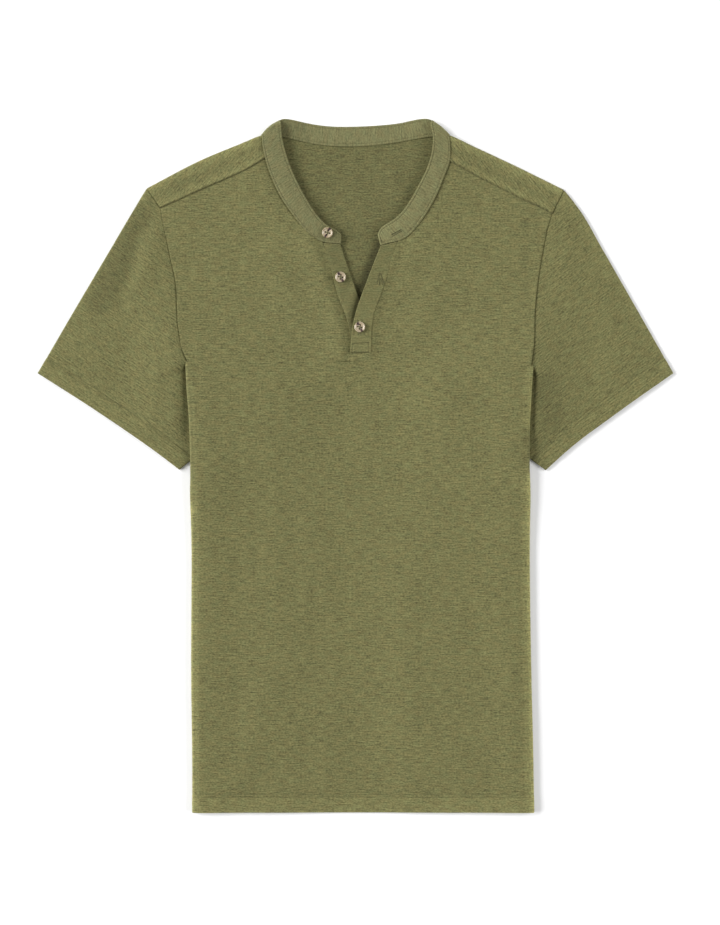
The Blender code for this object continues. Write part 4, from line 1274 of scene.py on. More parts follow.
def sheet_mesh(patches):
    """One welded sheet from patches, with its grain as a UV map in metres."""
    bm = bmesh.new()
    layer = bm.loops.layers.uv.new("grain")
    # Each point keeps its painted light or painted shade as a float attribute.
    nap = bm.verts.layers.float.new("nap")
    for patch in patches:
        grid = [[bm.verts.new(point * MM) for point in row] for row in patch.rows]
        for points, verts in zip(patch.rows, grid):
            for point, vert in zip(points, verts):
                vert[nap] = patch.nap(point)
        for j in range(len(grid) - 1):
            for i in range(len(grid[j]) - 1):
                corners = ((j, i), (j, i + 1), (j + 1, i + 1), (j + 1, i))
                face = bm.faces.new([grid[row][column] for row, column in corners])
                for loop, (row, column) in zip(face.loops, corners):
                    u, v = patch.grain[row][column]
                    loop[layer].uv = (u * MM, v * MM)
    bmesh.ops.remove_doubles(bm, verts=bm.verts, dist=WELD * MM)
    bmesh.ops.dissolve_degenerate(bm, edges=bm.edges, dist=WELD * MM)
    bmesh.ops.recalc_face_normals(bm, faces=bm.faces)
    return bm


def add_cloth(name, node, patches, wall, rounding, material, slot):
    """A sheet of cloth with its wall and rounded edges, in place of a CAD node."""
    obj = object_from(sheet_mesh(patches), name, material)
    thicken = obj.modifiers.new("wall", "SOLIDIFY")
    thicken.thickness = wall * MM
    thicken.offset = 0.0
    thicken.use_even_offset = slot == "jersey"     # it spikes at the band's tight turns
    thicken.use_rim = True
    soften = obj.modifiers.new("edge", "BEVEL")
    soften.width = rounding
    soften.segments = EDGE_SEGMENTS
    soften.limit_method = "ANGLE"
    soften.angle_limit = SHARP_FROM
    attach(obj, BODY)
    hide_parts(node)
    return obj


def body_cloth(name, node, patches):
    """A panel of the body or a sleeve."""
    material = jersey_material(name + " cloth", colours().jersey, CONTRAST)
    return add_cloth(name, node, patches, WALL, sizes().edge_round, material, "jersey")


# ---------------------------------------------------------------- body panels
def body_lower(height, nap=no_painted_shading):
    """The body below the armpits, from one side fold to the other."""
    mids = []
    grids = []
    for half in HALVES:
        foot = Vector((half.slit[0].x, BODY_HEM_Y))
        mid = straight(foot, half.slit[0], lower_steps((half.slit[0] - foot).length))
        hem = straight(half.side_seam[0], foot, CENTRE_STEPS)
        top = straight(half.armpit, half.slit[0], CENTRE_STEPS)
        grids += [half.tuck, fill(hem, top, half.side_seam, mid)]
        mids.append(mid)
    left, right = mids
    hem = straight(left[0], right[0], SLIT_STEPS)
    top = straight(left[-1], right[-1], SLIT_STEPS)
    grids.append(fill(hem, top, left, right))
    return [Patch(lay(grid, height), nap=nap) for grid in grids]


def chest_foot(half):
    """Lower edge of a half's chest: over the folded-in side, then to the slit."""
    return half.tuck_top + straight(half.armpit, half.slit[0], CENTRE_STEPS)[1:]


def tuck_patches(half, upper_height, lower_height, fold_steps, nap=no_painted_shading):
    """The side fold and the strip that it turns in behind the body."""
    outward = [Vector((half.sign, 0.0, 0.0))] * len(half.fold)
    turn = turn_over(lay_line(half.fold, upper_height), lay_line(half.fold, lower_height),
                     outward, fold_steps)
    return [Patch(turn, nap=nap), Patch(lay(half.tuck, lower_height))]


def front_patches():
    """The front from its folded sides and hem up to the shoulder seams and the neck."""
    fold_lines = [plan(half.table.fold_line) for half in HALVES]
    # Painted light on the folded sides and along the hem, with painted shade at the hem's
    # stitch line.
    edges = [([line[0] for line in fold_lines], HEM_PAINTED_SHADING, HEM_PAINTED_SHADING_RELIEF)]
    for half, line in zip(HALVES, fold_lines):
        count = half.table.free_fold
        edges += [(line[:count], half.table.nap, EDGE_PAINTED_LIGHT_RELIEF),
                  (line[count:], half.table.trench_nap, EDGE_PAINTED_LIGHT_RELIEF)]
    nap = painted_shading_beside(*edges)
    patches = body_lower(front_finish, nap)
    below_seam = Vector((0.0, -SEAM_GAP))
    for half in HALVES:
        shoulder = [point + below_seam for point in half.forward_seam]
        armhole = half.armhole[:-1] + [shoulder[0]]
        neckline = [shoulder[-1]] + half.neckline[1:]
        grid = fill(chest_foot(half), shoulder + neckline[1:], armhole, half.slit)
        grid = follow_top(grid, len(SEAM_ROWS) + 1)
        patches.append(Patch(lay(grid, front_finish)))
        patches += tuck_patches(half, front_finish, tuck_outer_height, FOLD_STEPS, nap)
    return patches


def back_necklines():
    """Back's edge beside the band: left part, middle part and right part."""
    first, last = BACK_MIDDLE_ROWS
    left = ribs_between(BAND_BACK, 0, first, CENTRE_STEPS)
    middle = ribs_between(BAND_BACK, first, last, SLIT_STEPS)
    right = ribs_between(BAND_BACK, last, BACK_LAST_ROW, backwards(CENTRE_STEPS))
    return [[beside(rib, TUCKED_GAP) for rib in ribs] for ribs in (left, middle, right)]


def back_patches():
    """The back, with its folded sides and its turns over the shoulders."""
    patches = body_lower(back_height)
    left_neck, middle_neck, right_neck = back_necklines()
    neckline = left_neck[::3] + middle_neck + right_neck[::3]

    def chest_height(point):
        return back_height(point) + relief_beside(point, neckline, BACK_NECK_RELIEF)

    mids = []
    for half, neck in zip(HALVES, (left_neck, right_neck[::-1])):
        armhole = half.armhole + half.armhole_top[1:]
        mid = straight(half.slit[0], neck[-1], length_steps(armhole))
        neck = [half.shoulder[-1]] + neck[1:]
        grid = fill(chest_foot(half), half.shoulder + neck[1:], armhole, mid)
        patches.append(Patch(lay(grid, chest_height), nap=inside_painted_shade))
        patches += yoke_patches(half)
        patches += tuck_patches(half, back_height, tuck_inner_height, SMALL_FOLD_STEPS)
        mids.append(mid)
    foot = straight(mids[0][0], mids[1][0], SLIT_STEPS)
    middle = fill(foot, middle_neck, mids[0], mids[1])
    patches.append(Patch(lay(middle, chest_height), nap=inside_painted_shade))
    return patches


def yoke_patches(half):
    """The back's turn over the shoulder and its stretch down to the shoulder seam."""
    turn = turn_over(lay_line(half.shoulder, yoke_finish),
                     lay_line(half.shoulder, back_height),
                     [half.shoulder_out.to_3d()] * len(half.shoulder), SMALL_FOLD_STEPS)
    stretch = fill(half.shoulder, half.forward_seam, half.armhole_top[::-1],
                   half.yoke_neck[::-1])
    # The turn mirrors the back's grain in the shoulder's line.
    grain = turned_grain(2 * slant(half.shoulder[0], half.shoulder[-1]))
    # Painted light along the shoulder's fold, and painted shade in the forward seam with
    # painted light on its lip.
    nap = painted_shading_beside((half.shoulder_line, SHOULDER_PAINTED_LIGHT, EDGE_PAINTED_LIGHT_RELIEF),
                     (half.seam_line, LIP_PAINTED_SHADING, LIP_PAINTED_SHADING_RELIEF))
    return [Patch(turn, grain, nap), Patch(lay(stretch, yoke_finish), grain, nap)]


# ---------------------------------------------------------------- sleeves
def slant(start, end):
    """Angle in the plan of the line between two points, in degrees from -90 to 90."""
    return (degrees(atan2(end.y - start.y, end.x - start.x)) + 90.0) % 180.0 - 90.0


def side_normal(start, end, towards_y):
    """Unit vector square to a line in the plan, up or down the plan."""
    run = (end - start).normalized()
    normal = Vector((-run.y, run.x))
    return normal if normal.y * towards_y > 0 else -normal


def sleeve_grids(half):
    """Plan grids of a sleeve down to its hem zone and of that zone.

    Its two outward directions and its hem come with them.
    """
    gap = Vector((half.sign * SEAM_GAP, 0.0))
    seam = [point + gap for point in (half.armhole + half.armhole_top[1:])[::-1]]
    seam += half.tuck_top[1:]
    outer_out = side_normal(half.sleeve_outer[0], half.sleeve_outer[-1], 1)
    under_out = side_normal(half.armpit, half.underarm_end, -1)
    seam[-1] = half.armpit - under_out * EDGE_INSET
    outer = smooth_curve([seam[0]] + [point - outer_out * EDGE_INSET
                                      for point in half.sleeve_outer[1:]])
    under_end = half.underarm_end - under_out * EDGE_INSET
    hem = smooth_path([outer[-1]] + plan(half.table.sleeve_hem[1:-1]) + [under_end],
                      length_steps(seam))
    hem_run = (hem[-1] - hem[0]).normalized()
    up = side_normal(hem[0], hem[-1], 1)
    rises = ((outer[0] - outer[-1]).normalized(), (seam[-1] - under_end).normalized())
    outer_up, under_up = (rise * (HEM_ZONE / rise.dot(up)) for rise in rises)
    hem_length = length_of(hem)
    zone_top = [point + outer_up.lerp(under_up, (point - hem[0]).dot(hem_run) / hem_length)
                for point in hem]
    share = 1.0 - outer_up.length / length_of(outer)
    outer_part = along(outer, [share * step for step in SLEEVE_STEPS])
    zone_top[0] = outer_part[-1]
    under_part = straight(seam[-1], zone_top[-1], SLEEVE_STEPS)
    rows = [distance / HEM_ZONE for distance in reversed(HEM_ROWS)]
    zone = [[foot.lerp(top, row) for foot, top in zip(hem, zone_top)]
            for row in [1.0] + rows]
    return (fill(seam, zone_top, outer_part, under_part), zone, outer_out, under_out,
            hem)


def sleeve_patches(half):
    """Two flat layers, closed along the outer fold and the underarm."""
    main, zone, outer_out, under_out, hem = sleeve_grids(half)
    outer_line = (main[0][0], zone[-1][0])
    under_line = (main[0][-1], zone[-1][-1])
    hem_line = thinned(hem, 4)

    def front(point):
        ease = SLEEVE_EASE
        for line in (outer_line, under_line, half.armhole_line):
            ease *= smooth(distance_to(point, line) / SLEEVE_EASE_RUN)
        return (sleeve_front_height(point) + ease + trench_swell(point)
                + relief_beside(point, half.armhole_line, SLEEVE_SEAM_RELIEF)
                + relief_beside(point, hem_line, HEM_RELIEF))

    grain = turned_grain(slant(hem[0], hem[-1]))
    # Painted light on the sleeve's outer fold and hem, painted shade beside its shaded
    # line.
    nap = painted_shading_beside((half.sleeve_outer, half.table.sleeve_nap, EDGE_PAINTED_LIGHT_RELIEF),
                     (hem_line, SLEEVE_HEM_PAINTED_SHADING, HEM_PAINTED_SHADING_RELIEF),
                     (plan(half.table.sleeve_shade), SLEEVE_SHADE, SHADE_RELIEF))
    patches = []
    for grid in (main, zone):
        back = lay(grid, sleeve_back_height)
        top = lay(grid, front)
        patches += [Patch(back, grain), Patch(top, grain, nap)]
        for column, out in ((0, outer_out), (-1, under_out)):
            turn = turn_over(column_of(top, column), column_of(back, column),
                             [out.to_3d()] * len(top), SMALL_FOLD_STEPS)
            patches.append(Patch(turn, grain, nap))
    return patches


# ---------------------------------------------------------------- neck band, plackets
def places_across(width, rows):
    """Distances across a strip of this width, close together beside both edges."""
    half = width / 2
    last = rows[-1] * ROWS_SPREAD
    shrink = min(1.0, (half - ROWS_FIXED) / (last - ROWS_FIXED))
    shrink = max(shrink, ROWS_LEAST)
    near = [d if d <= ROWS_FIXED else
            ROWS_FIXED + (d - ROWS_FIXED) * shrink for d in rows]
    return near + [half] + [width - d for d in reversed(near)]


def no_bow(index):
    return Vector((0.0, 0.0, 0.0))


def middles_of(ribs):
    return [rib.seam.lerp(rib.edge, 0.5) for rib in ribs]


def strip_grid(ribs, rows, rise, bow=no_bow):
    """Grid of a strip: across each rib at `rows`, raised by `rise` and pushed by `bow`."""
    grid = []
    for index, rib in enumerate(ribs):
        width = (rib.edge - rib.seam).length
        run = (rib.edge - rib.seam) / width
        line = []
        for place in places_across(width, rows):
            point = rib.seam + run * place + bow(index) * sin(pi * place / width)
            point.z += rise(index, place, width - place)
            point.z += ridge(flat(point), TRIM_PUCKERS)
            line.append(point)
        grid.append(line)
    return grid


def strip_grain(ribs, rows):
    """Grain of a strip whose courses run across it."""
    return [[(place, reached)
             for place in places_across((rib.edge - rib.seam).length, rows)]
            for rib, reached in zip(ribs, reached_along(middles_of(ribs)))]


def front_band_ribs(half):
    """Ribs from the band's end at the slit up to its turn over the shoulder."""
    seam, _ = rib_lines(half.band_rows)
    length = length_of(seam)
    steps = graded(length, BAND_ROWS, (0.0,), round(length / BAND_STEP))
    return ribs_between(half.band_rows, 0, ROW_AT_TURN, steps)


def back_band_ribs():
    """Ribs of the band behind the neck, from left to right."""
    seam, _ = rib_lines(BAND_BACK)
    count = round(length_of(seam) / BAND_STEP)
    return ribs_between(BAND_BACK, 0, BACK_LAST_ROW, even(count))


def turn_ribs(half, front_rib, back_rib):
    """Ribs of the rounded turn over a shoulder, from the front leaf to the back leaf."""
    edge_out = side_normal(flat(front_rib.seam), flat(front_rib.edge), 1)
    rows = turn_over([front_rib.seam, front_rib.edge], [back_rib.seam, back_rib.edge],
                     [half.shoulder_out.to_3d(), edge_out.to_3d() * BAND_EDGE_PINCH],
                     BAND_TURN_RIBS)
    return [Rib(*row) for row in rows[1:-1]]


def band_ribs():
    """All ribs of the band, from its left end round to its right end."""
    left, right = HALVES
    left_ribs = front_band_ribs(left)
    back_ribs = back_band_ribs()
    right_ribs = front_band_ribs(right)[::-1]
    ribs = left_ribs + turn_ribs(left, left_ribs[-1], back_ribs[0]) + back_ribs
    return ribs + turn_ribs(right, right_ribs[0], back_ribs[-1])[::-1] + right_ribs


def band_grid():
    """The band with a welt and a stitched groove beside its edges and ends."""
    left, right = HALVES
    ribs = band_ribs()
    turns = (len(front_band_ribs(left)), -len(front_band_ribs(right)))
    reached = reached_along(middles_of(ribs))
    total = reached[-1]

    def rise(index, from_seam, from_edge):
        from_end = min(reached[index], total - reached[index])
        width = from_seam + from_edge
        crown = BAND_CROWN * sin(pi * from_seam / width)
        return crown + relief(min(from_seam, from_edge, from_end), WELT_RELIEF)

    def bow(index):
        push = Vector((0.0, 0.0, 0.0))
        for half, turn in zip(HALVES, turns):
            away = abs(reached[index] - reached[turn]) / BAND_TURN_REACH
            push += (half.shoulder_out.to_3d() * half.table.band_bow
                     * (1.0 - smooth(away)))
        return push

    return ribs, strip_grid(ribs, BAND_ROWS, rise, bow)


def placket_ribs(rows):
    """Ribs of a placket strip from its foot up."""
    seam, _ = rib_lines(rows)
    length = length_of(seam)
    steps = graded(length, PLACKET_END_ROWS, (0.0,), round(length / PLACKET_STEP))
    return ribs_between(rows, 0, len(rows) - 1, steps)


def box_line():
    """The box stitch from the foot's left corner over the top to its right corner."""
    seam, edge = Vector(OVERLAP[0][:3]), Vector(OVERLAP[0][3:])
    left_x, right_x = edge.x + BOX_SIDES[0], seam.x - BOX_SIDES[1]
    return [Vector(corner) for corner in (
        (left_x, seam.y), (left_x, BOX_TOP[0]), (right_x, BOX_TOP[1]), (right_x, seam.y))]


def strip_point(ribs, index, from_seam, from_edge):
    """The place in the plan of a point across a rib."""
    rib = ribs[index]
    return flat(rib.seam.lerp(rib.edge, from_seam / (from_seam + from_edge)))


def overlap_rise(ribs):
    """Relief of the overlap: its foot and the grooves of its box stitch."""
    line = box_line()

    def rise(index, from_seam, from_edge):
        point = strip_point(ribs, index, from_seam, from_edge)
        return (relief_beside(point, line, BOX_RELIEF)
                + relief(point.y - line[0].y, PLAIN_RELIEF))

    return rise


def underlap_rise(ribs):
    """Relief of the underlap, which the overlap's free edge presses down."""
    edge_line = free_edge(OVERLAP)

    def rise(index, from_seam, from_edge):
        point = strip_point(ribs, index, from_seam, from_edge)
        edge_x = level_with(edge_line, point.y).x
        for low, high in zip(edge_line, edge_line[1:]):
            if low.y <= point.y <= high.y:
                edge_x = low.lerp(high, (point.y - low.y) / (high.y - low.y)).x
        press = relief(max(edge_x - point.x, 0.0), PRESS_RELIEF)
        press *= smooth((point.y - PRESS_FROM_Y) / PRESS_RUN)
        return relief(from_seam, UNDERLAP_RELIEF) + press

    return rise


def trim_cloth(name, node, patch, wall, rounding, colour):
    """The band or a placket strip."""
    material = jersey_material(name + " cloth", colour, TRIM_CONTRAST)
    return add_cloth(name, node, [patch], wall, rounding * MM, material, "trim_jersey")


def placket_cloth(name, node, table, rise_of, nap):
    """A placket strip from its rib table and its relief."""
    ribs = placket_ribs(table)
    patch = Patch(strip_grid(ribs, PLACKET_ROWS, rise_of(ribs)),
                  strip_grain(ribs, PLACKET_ROWS), nap)
    return trim_cloth(name, node, patch, PLACKET_WALL, PLACKET_EDGE_ROUND,
                      colours().placket)


# ---------------------------------------------------------------- sewing
def surface_of(name):
    """The finished surface of a piece, modifiers included."""
    depsgraph = bpy.context.evaluated_depsgraph_get()
    depsgraph.update()
    return BVHTree.FromObject(bpy.data.objects[name], depsgraph)


def seat(surface, point):
    """The spot and the normal of the surface just under a point in millimetres."""
    above = (point + Vector((0.0, 0.0, LOOK_FROM))) * MM
    spot, normal, _, _ = surface.ray_cast(above, Vector((0.0, 0.0, -1.0)))
    if spot is None:
        return None, None
    return spot / MM, normal


def add_stitch(bm, start, end, normal, radius=THREAD_RADIUS):
    """One stitch: a thread that lies half sunk between two points."""
    run = end - start
    side = normal.cross(run).normalized()
    up = run.normalized().cross(side)
    turn = Matrix((run.normalized(), side, up)).transposed().to_4x4()
    middle = (start + end) / 2 + up * radius * THREAD_OUT
    shape = Matrix.Diagonal((run.length / 2, radius, radius, 1.0))
    scale = Matrix.Scale(MM, 4)
    bmesh.ops.create_uvsphere(
        bm, u_segments=STITCH_SIDES, v_segments=STITCH_RINGS, radius=1.0,
        matrix=scale @ Matrix.Translation(middle) @ turn @ shape @ POLE_ALONG_X)


def run_stitches(bm, surface, line, length=STITCH_LENGTH, gap=STITCH_GAP):
    """Even stitches along a line of points that lies over a surface."""
    total = length_of(line)
    count = max(1, round(total / (length + gap)))
    pitch = total / count
    share = length / (length + gap)
    steps = []
    for index in range(count):
        steps += [index * pitch / total, (index + share) * pitch / total]
    points = along(line, steps)
    for start, end in zip(points[::2], points[1::2]):
        spot, normal = seat(surface, (start + end) / 2)
        first, _ = seat(surface, start)
        last, _ = seat(surface, end)
        if spot is None or first is None or last is None or normal.z < STITCH_LEVEL:
            continue
        if (last - first).length <= STITCH_STRETCH * length:
            add_stitch(bm, first, last, normal)


def add_sewing(name, bm):
    """A piece of its own for the thread in a bmesh."""
    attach(object_from(bm, name, thread_material()), BODY)


# ---------------------------------------------------------------- buttons
BUTTON_DISH = 0.6
BUTTON_FOOT = 0.72         # share of the radius that the flat underside has
BUTTON_WELD = 0.005
# The side from the underside up. Columns: distance in from the edge, share of the
# thickness, height added to it.
BUTTON_SIDE = ((0.25, 0.4, -0.3), (0.0, 0.4, 0.0), (0.04, 0.62, 0.0))
# The rim and its fall into the dish: distance in from the edge, depth under the top.
BUTTON_TOP = ((0.25, 0.18), (0.5, 0.03), (0.65, 0.0), (0.95, 0.05),
              (1.3, BUTTON_DISH / 2), (1.65, BUTTON_DISH - 0.05), (2.05, BUTTON_DISH))
DISH_SAG = 0.05
BUTTON_HOLE_DIAMETER = 1.7
BUTTON_HOLE_PITCH = 2.9
BUTTON_SIDES = 48
HOLE_SIDES = 16
HORN_SHARP_FROM = radians(50)
BUTTON_STANCE = 3.5        # how far out the cloth under a button is felt for
BUTTON_GAP = 0.15
CROSS_ABOVE = 0.1          # the thread over the dish: height, half spacing, radius
CROSS_ASIDE = 0.22
CROSS_RADIUS = 0.28
SHANK_FOOT = 0.1
SHANK_RADIUS = 0.32
HORN_TAN = (0.72, 0.62, 0.50)      # factors of the horn's light colour
HORN_WAVER = ((2.2, 1.2), 3.0)     # cell and detail of the streaks' noise
HORN_SHIFT = 4.0                   # and how far it moves them
HORN_CLOUD = ((3.0, 3.0), 2.0)
STREAK_EDGE = (0.5, 1.6)           # from the middle line, where a streak fades out
STREAK_START = (1.2, 2.2)          # from the button's middle, where it fades in
TAN_RANGE = (0.42, 0.70)


def horn_material(name, grain):
    """Imitation horn: cream with dark streaks across the middle, polished."""
    def paint(tree):
        face = add_node(tree, "ShaderNodeUVMap", uv_map="face").outputs[0]
        along_grain, across = add_node(
            tree, "ShaderNodeSeparateXYZ", {0: face}).outputs[:2]
        shift = centred(tree, noise(tree, face, *HORN_WAVER, grain * 0.1),
                        HORN_SHIFT * MM)
        off_axis, reach = (maths(tree, "ABSOLUTE", maths(tree, "ADD", place, shift))
                           for place in (across, along_grain))
        low, high = (distance * MM for distance in STREAK_EDGE)
        streak = ranged(tree, off_axis, low, high, 1.0, 0.0, soft=True)
        low, high = (distance * MM for distance in STREAK_START)
        mask = maths(tree, "MULTIPLY", streak,
                     ranged(tree, reach, low, high, soft=True))
        cloud = noise(tree, face, *HORN_CLOUD, 2.0 + grain)
        base = mix_colour(tree, ranged(tree, cloud, *TAN_RANGE),
                          (*colours().horn, 1.0), scaled(colours().horn, *HORN_TAN))
        return {"Base Color": mix_colour(tree, mask, base, (*colours().horn_dark, 1.0)),
                "Roughness": 0.28, "Specular IOR Level": 0.5, "Coat Weight": 0.3,
                "Coat Roughness": 0.12}

    return new_material(name, paint)


def button_mesh(grain):
    """A turned disc with a raised rim, its face mapped along the horn's grain."""
    bm = bmesh.new()
    radius = sizes().button_diameter / MM / 2
    thick = sizes().button_thick / MM
    profile = [(0.0, 0.0), (radius * BUTTON_FOOT, 0.0)]
    profile += [(radius - inset, thick * share + rise)
                for inset, share, rise in BUTTON_SIDE]
    profile += [(radius - inset, thick - depth) for inset, depth in BUTTON_TOP]
    profile.append((0.0, thick - BUTTON_DISH - DISH_SAG))
    points = [bm.verts.new((r * MM, 0.0, z * MM)) for r, z in profile]
    edges = [bm.edges.new(pair) for pair in zip(points, points[1:])]
    bmesh.ops.spin(bm, geom=points + edges, cent=(0, 0, 0), axis=(0, 0, 1),
                   angle=FULL_TURN, steps=BUTTON_SIDES, use_merge=True)
    bmesh.ops.remove_doubles(bm, verts=bm.verts, dist=BUTTON_WELD * MM)
    bmesh.ops.recalc_face_normals(bm, faces=bm.faces)
    layer = bm.loops.layers.uv.new("face")
    along_grain = turned_grain(grain)
    for face in bm.faces:
        for loop in face.loops:
            loop[layer].uv = along_grain(loop.vert.co)
    return bm


def hole_places(turn):
    """Centres of the four holes, as vectors in millimetres."""
    reach = BUTTON_HOLE_PITCH / 2 ** 0.5
    return [Vector((reach * cos(angle), reach * sin(angle), 0.0))
            for angle in (pi / 4 + pi / 2 * index + radians(turn) for index in range(4))]


def cut_with(obj, cutter):
    """Cut one object with another and keep the finished mesh."""
    cut = obj.modifiers.new("cut", "BOOLEAN")
    cut.operation = "DIFFERENCE"
    cut.solver = "EXACT"
    cut.object = cutter
    depsgraph = bpy.context.evaluated_depsgraph_get()
    depsgraph.update()
    mesh = bpy.data.meshes.new_from_object(obj.evaluated_get(depsgraph))
    obj.modifiers.clear()
    obj.data = mesh
    bpy.data.objects.remove(cutter, do_unlink=True)


def hole_cutter(turn):
    """Four plugs where a button's holes are to be."""
    bm = bmesh.new()
    for place in hole_places(turn):
        bmesh.ops.create_cone(
            bm, cap_ends=True, segments=HOLE_SIDES,
            radius1=BUTTON_HOLE_DIAMETER / 2 * MM, radius2=BUTTON_HOLE_DIAMETER / 2 * MM,
            depth=4 * sizes().button_thick, matrix=Matrix.Translation(place * MM))
    return object_from(bm, "holes", thread_material())


def button_seat(button):
    """Where a button lies on its carrier, as a matrix in metres."""
    surface = surface_of(button.carrier)
    centre = Vector((button.x, button.y, DROP_FROM))
    west, east, south, north = (
        seat(surface, centre + Vector(step) * BUTTON_STANCE)[0]
        for step in ((-1, 0, 0), (1, 0, 0), (0, -1, 0), (0, 1, 0)))
    normal = (east - west).cross(north - south).normalized()
    spot = (east + west + north + south) / 4 + normal * BUTTON_GAP
    tilt = Vector((0.0, 0.0, 1.0)).rotation_difference(normal).to_matrix().to_4x4()
    return Matrix.Translation(spot * MM) @ tilt


def button_thread(turn):
    """The two crossing threads over a button's dish and their legs in its holes."""
    bm = bmesh.new()
    top = sizes().button_thick / MM - BUTTON_DISH + CROSS_ABOVE
    corners = [corner + Vector((0.0, 0.0, top)) for corner in hole_places(turn)]
    for first, last in (corners[::2], corners[1::2]):
        run = last - first
        for side in (-1, 1):
            aside = Vector((-run.y, run.x, 0.0)).normalized() * CROSS_ASIDE * side
            add_stitch(bm, first + aside, last + aside, Vector((0.0, 0.0, 1.0)),
                       radius=CROSS_RADIUS)
    for corner in corners:
        foot = Vector((corner.x, corner.y, SHANK_FOOT))
        add_stitch(bm, corner, foot, Vector((1.0, 0.0, 0.0)), radius=SHANK_RADIUS)
    return bm


def add_button(button):
    """A button on its carrier, with the thread that holds it."""
    material = horn_material(button.name + " horn", button.grain)
    obj = object_from(button_mesh(button.grain), button.name + "_horn", material)
    cut_with(obj, hole_cutter(button.turn))
    obj.data.shade_smooth()
    obj.data.set_sharp_from_angle(angle=HORN_SHARP_FROM)
    place = button_seat(button)
    obj.data.transform(place)
    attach(obj, BODY)
    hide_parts(button.name)
    threads = button_thread(button.turn)
    threads.transform(place)
    add_sewing(button.name + "_thread", threads)


# ---------------------------------------------------------------- operators
class HenleyOperator:
    """What the henley operators share. Each one's `build` makes its pieces."""

    bl_options = {"REGISTER", "UNDO"}

    def execute(self, context):
        self.build(context.scene)
        return {"FINISHED"}


class HENLEY_OT_front(HenleyOperator, bpy.types.Operator):
    """Add the front body panel, slit at the neck and folded in at both sides"""

    bl_idname = "henley.front"
    bl_label = "Front body"

    def build(self, scene):
        obj = body_cloth("front_body_jersey", "front_panel", front_patches())


class HENLEY_OT_back(HenleyOperator, bpy.types.Operator):
    """Add the back body panel, which comes over the shoulders"""

    bl_idname = "henley.back"
    bl_label = "Back body"

    def build(self, scene):
        obj = body_cloth("back_body_jersey", "back_panel", back_patches())


class HENLEY_OT_sleeves(HenleyOperator, bpy.types.Operator):
    """Add both short sleeves"""

    bl_idname = "henley.sleeves"
    bl_label = "Sleeves"

    def build(self, scene):
        for half, side, area in zip(HALVES, ("left", "right"), (0.0547, 0.0541)):
            obj = body_cloth(side + "_sleeve_jersey", side + "_sleeve",
                             sleeve_patches(half))


class HENLEY_OT_neck_band(HenleyOperator, bpy.types.Operator):
    """Add the neck band"""

    bl_idname = "henley.neck_band"
    bl_label = "Neck band"

    def build(self, scene):
        ribs, grid = band_grid()
        # Painted shade across the band's left front, painted light across its right front,
        # and painted light along the free edge of its back.
        sides = [(free_edge(table), strength, STRIP_PAINTED_SHADING_RELIEF)
                 for table, strength in zip((BAND_LEFT, BAND_RIGHT), BAND_SIDE_PAINTED_SHADING)]
        nap = painted_shading_beside((free_edge(BAND_BACK), BAND_EDGE_PAINTED_LIGHT, EDGE_PAINTED_LIGHT_RELIEF), *sides)
        patch = Patch(grid, strip_grain(ribs, BAND_ROWS), nap)
        obj = trim_cloth("neck_band_jersey", "neck_band", patch, BAND_WALL,
                         BAND_EDGE_ROUND, colours().trim)


class HENLEY_OT_plackets(HenleyOperator, bpy.types.Operator):
    """Add the underlap and the overlap of the slit"""

    bl_idname = "henley.plackets"
    bl_label = "Plackets"

    def build(self, scene):
        # Painted shade on the underlap beside the overlap's free edge, and in the grooves
        # of the overlap's box stitch.
        nap = painted_shading_beside((free_edge(OVERLAP), UNDERLAP_PAINTED_SHADE, PRESS_PAINTED_SHADE_RELIEF))
        obj = placket_cloth("underlap_jersey", "button_placket", UNDERLAP,
                            underlap_rise, nap)
        foot_left, top_left, top_right, foot_right = box_line()
        nap = painted_shading_beside(((top_left, top_right), BOX_PAINTED_SHADE, GROOVE_PAINTED_SHADE_RELIEF),
                         ((foot_left, foot_right), BOX_PAINTED_SHADE, GROOVE_PAINTED_SHADE_RELIEF))
        obj = placket_cloth("overlap_jersey", "buttonhole_placket", OVERLAP,
                            overlap_rise, nap)


class HENLEY_OT_topstitching(HenleyOperator, bpy.types.Operator):
    """Sew the band's edges and ends and the box at the overlap's foot"""

    bl_idname = "henley.topstitching"
    bl_label = "Topstitching"

    def build(self, scene):
        _, grid = band_grid()
        surface = surface_of("neck_band_jersey")
        column = BAND_ROWS.index(STITCH_INSET)
        inner = grid[column:-column]
        bm = bmesh.new()
        for line in (column_of(inner, column), column_of(inner, -1 - column),
                     inner[0][column:-column], inner[-1][column:-column]):
            run_stitches(bm, surface, line)
        add_sewing("band_topstitch", bm)

        surface = surface_of("overlap_jersey")
        corners = lay_line(box_line(), lambda point: OVERLAP[0][2])
        corners[0].y += BOX_FOOT_INSET
        corners[-1].y += BOX_FOOT_INSET
        bm = bmesh.new()
        for start, end in zip(corners, corners[1:] + corners[:1]):
            run_stitches(bm, surface, [start, end], *BOX_STITCH)
        add_sewing("box_stitch", bm)


class HENLEY_OT_buttonholes(HenleyOperator, bpy.types.Operator):
    """Sew the satin sides of the buttonholes"""

    bl_idname = "henley.buttonholes"
    bl_label = "Buttonholes"

    def build(self, scene):
        bm = bmesh.new()
        surfaces = {strip: surface_of(strip)
                    for strip in ("overlap_jersey", "neck_band_jersey")}
        for strip, x0, y0, x1, y1 in HOLE_SIDES_SEWN:
            start, end = Vector((x0, y0, DROP_FROM)), Vector((x1, y1, DROP_FROM))
            run = (end - start).normalized()
            across = Vector((-run.y, run.x, 0.0)) * SATIN_LENGTH / 2
            count = round((end - start).length / SATIN_PITCH)
            for step in even(count):
                middle = start.lerp(end, step)
                first, normal = seat(surfaces[strip], middle - across)
                last, _ = seat(surfaces[strip], middle + across)
                if first and last:
                    add_stitch(bm, first, last, normal, radius=SATIN_RADIUS)
        add_sewing("buttonhole_satin", bm)


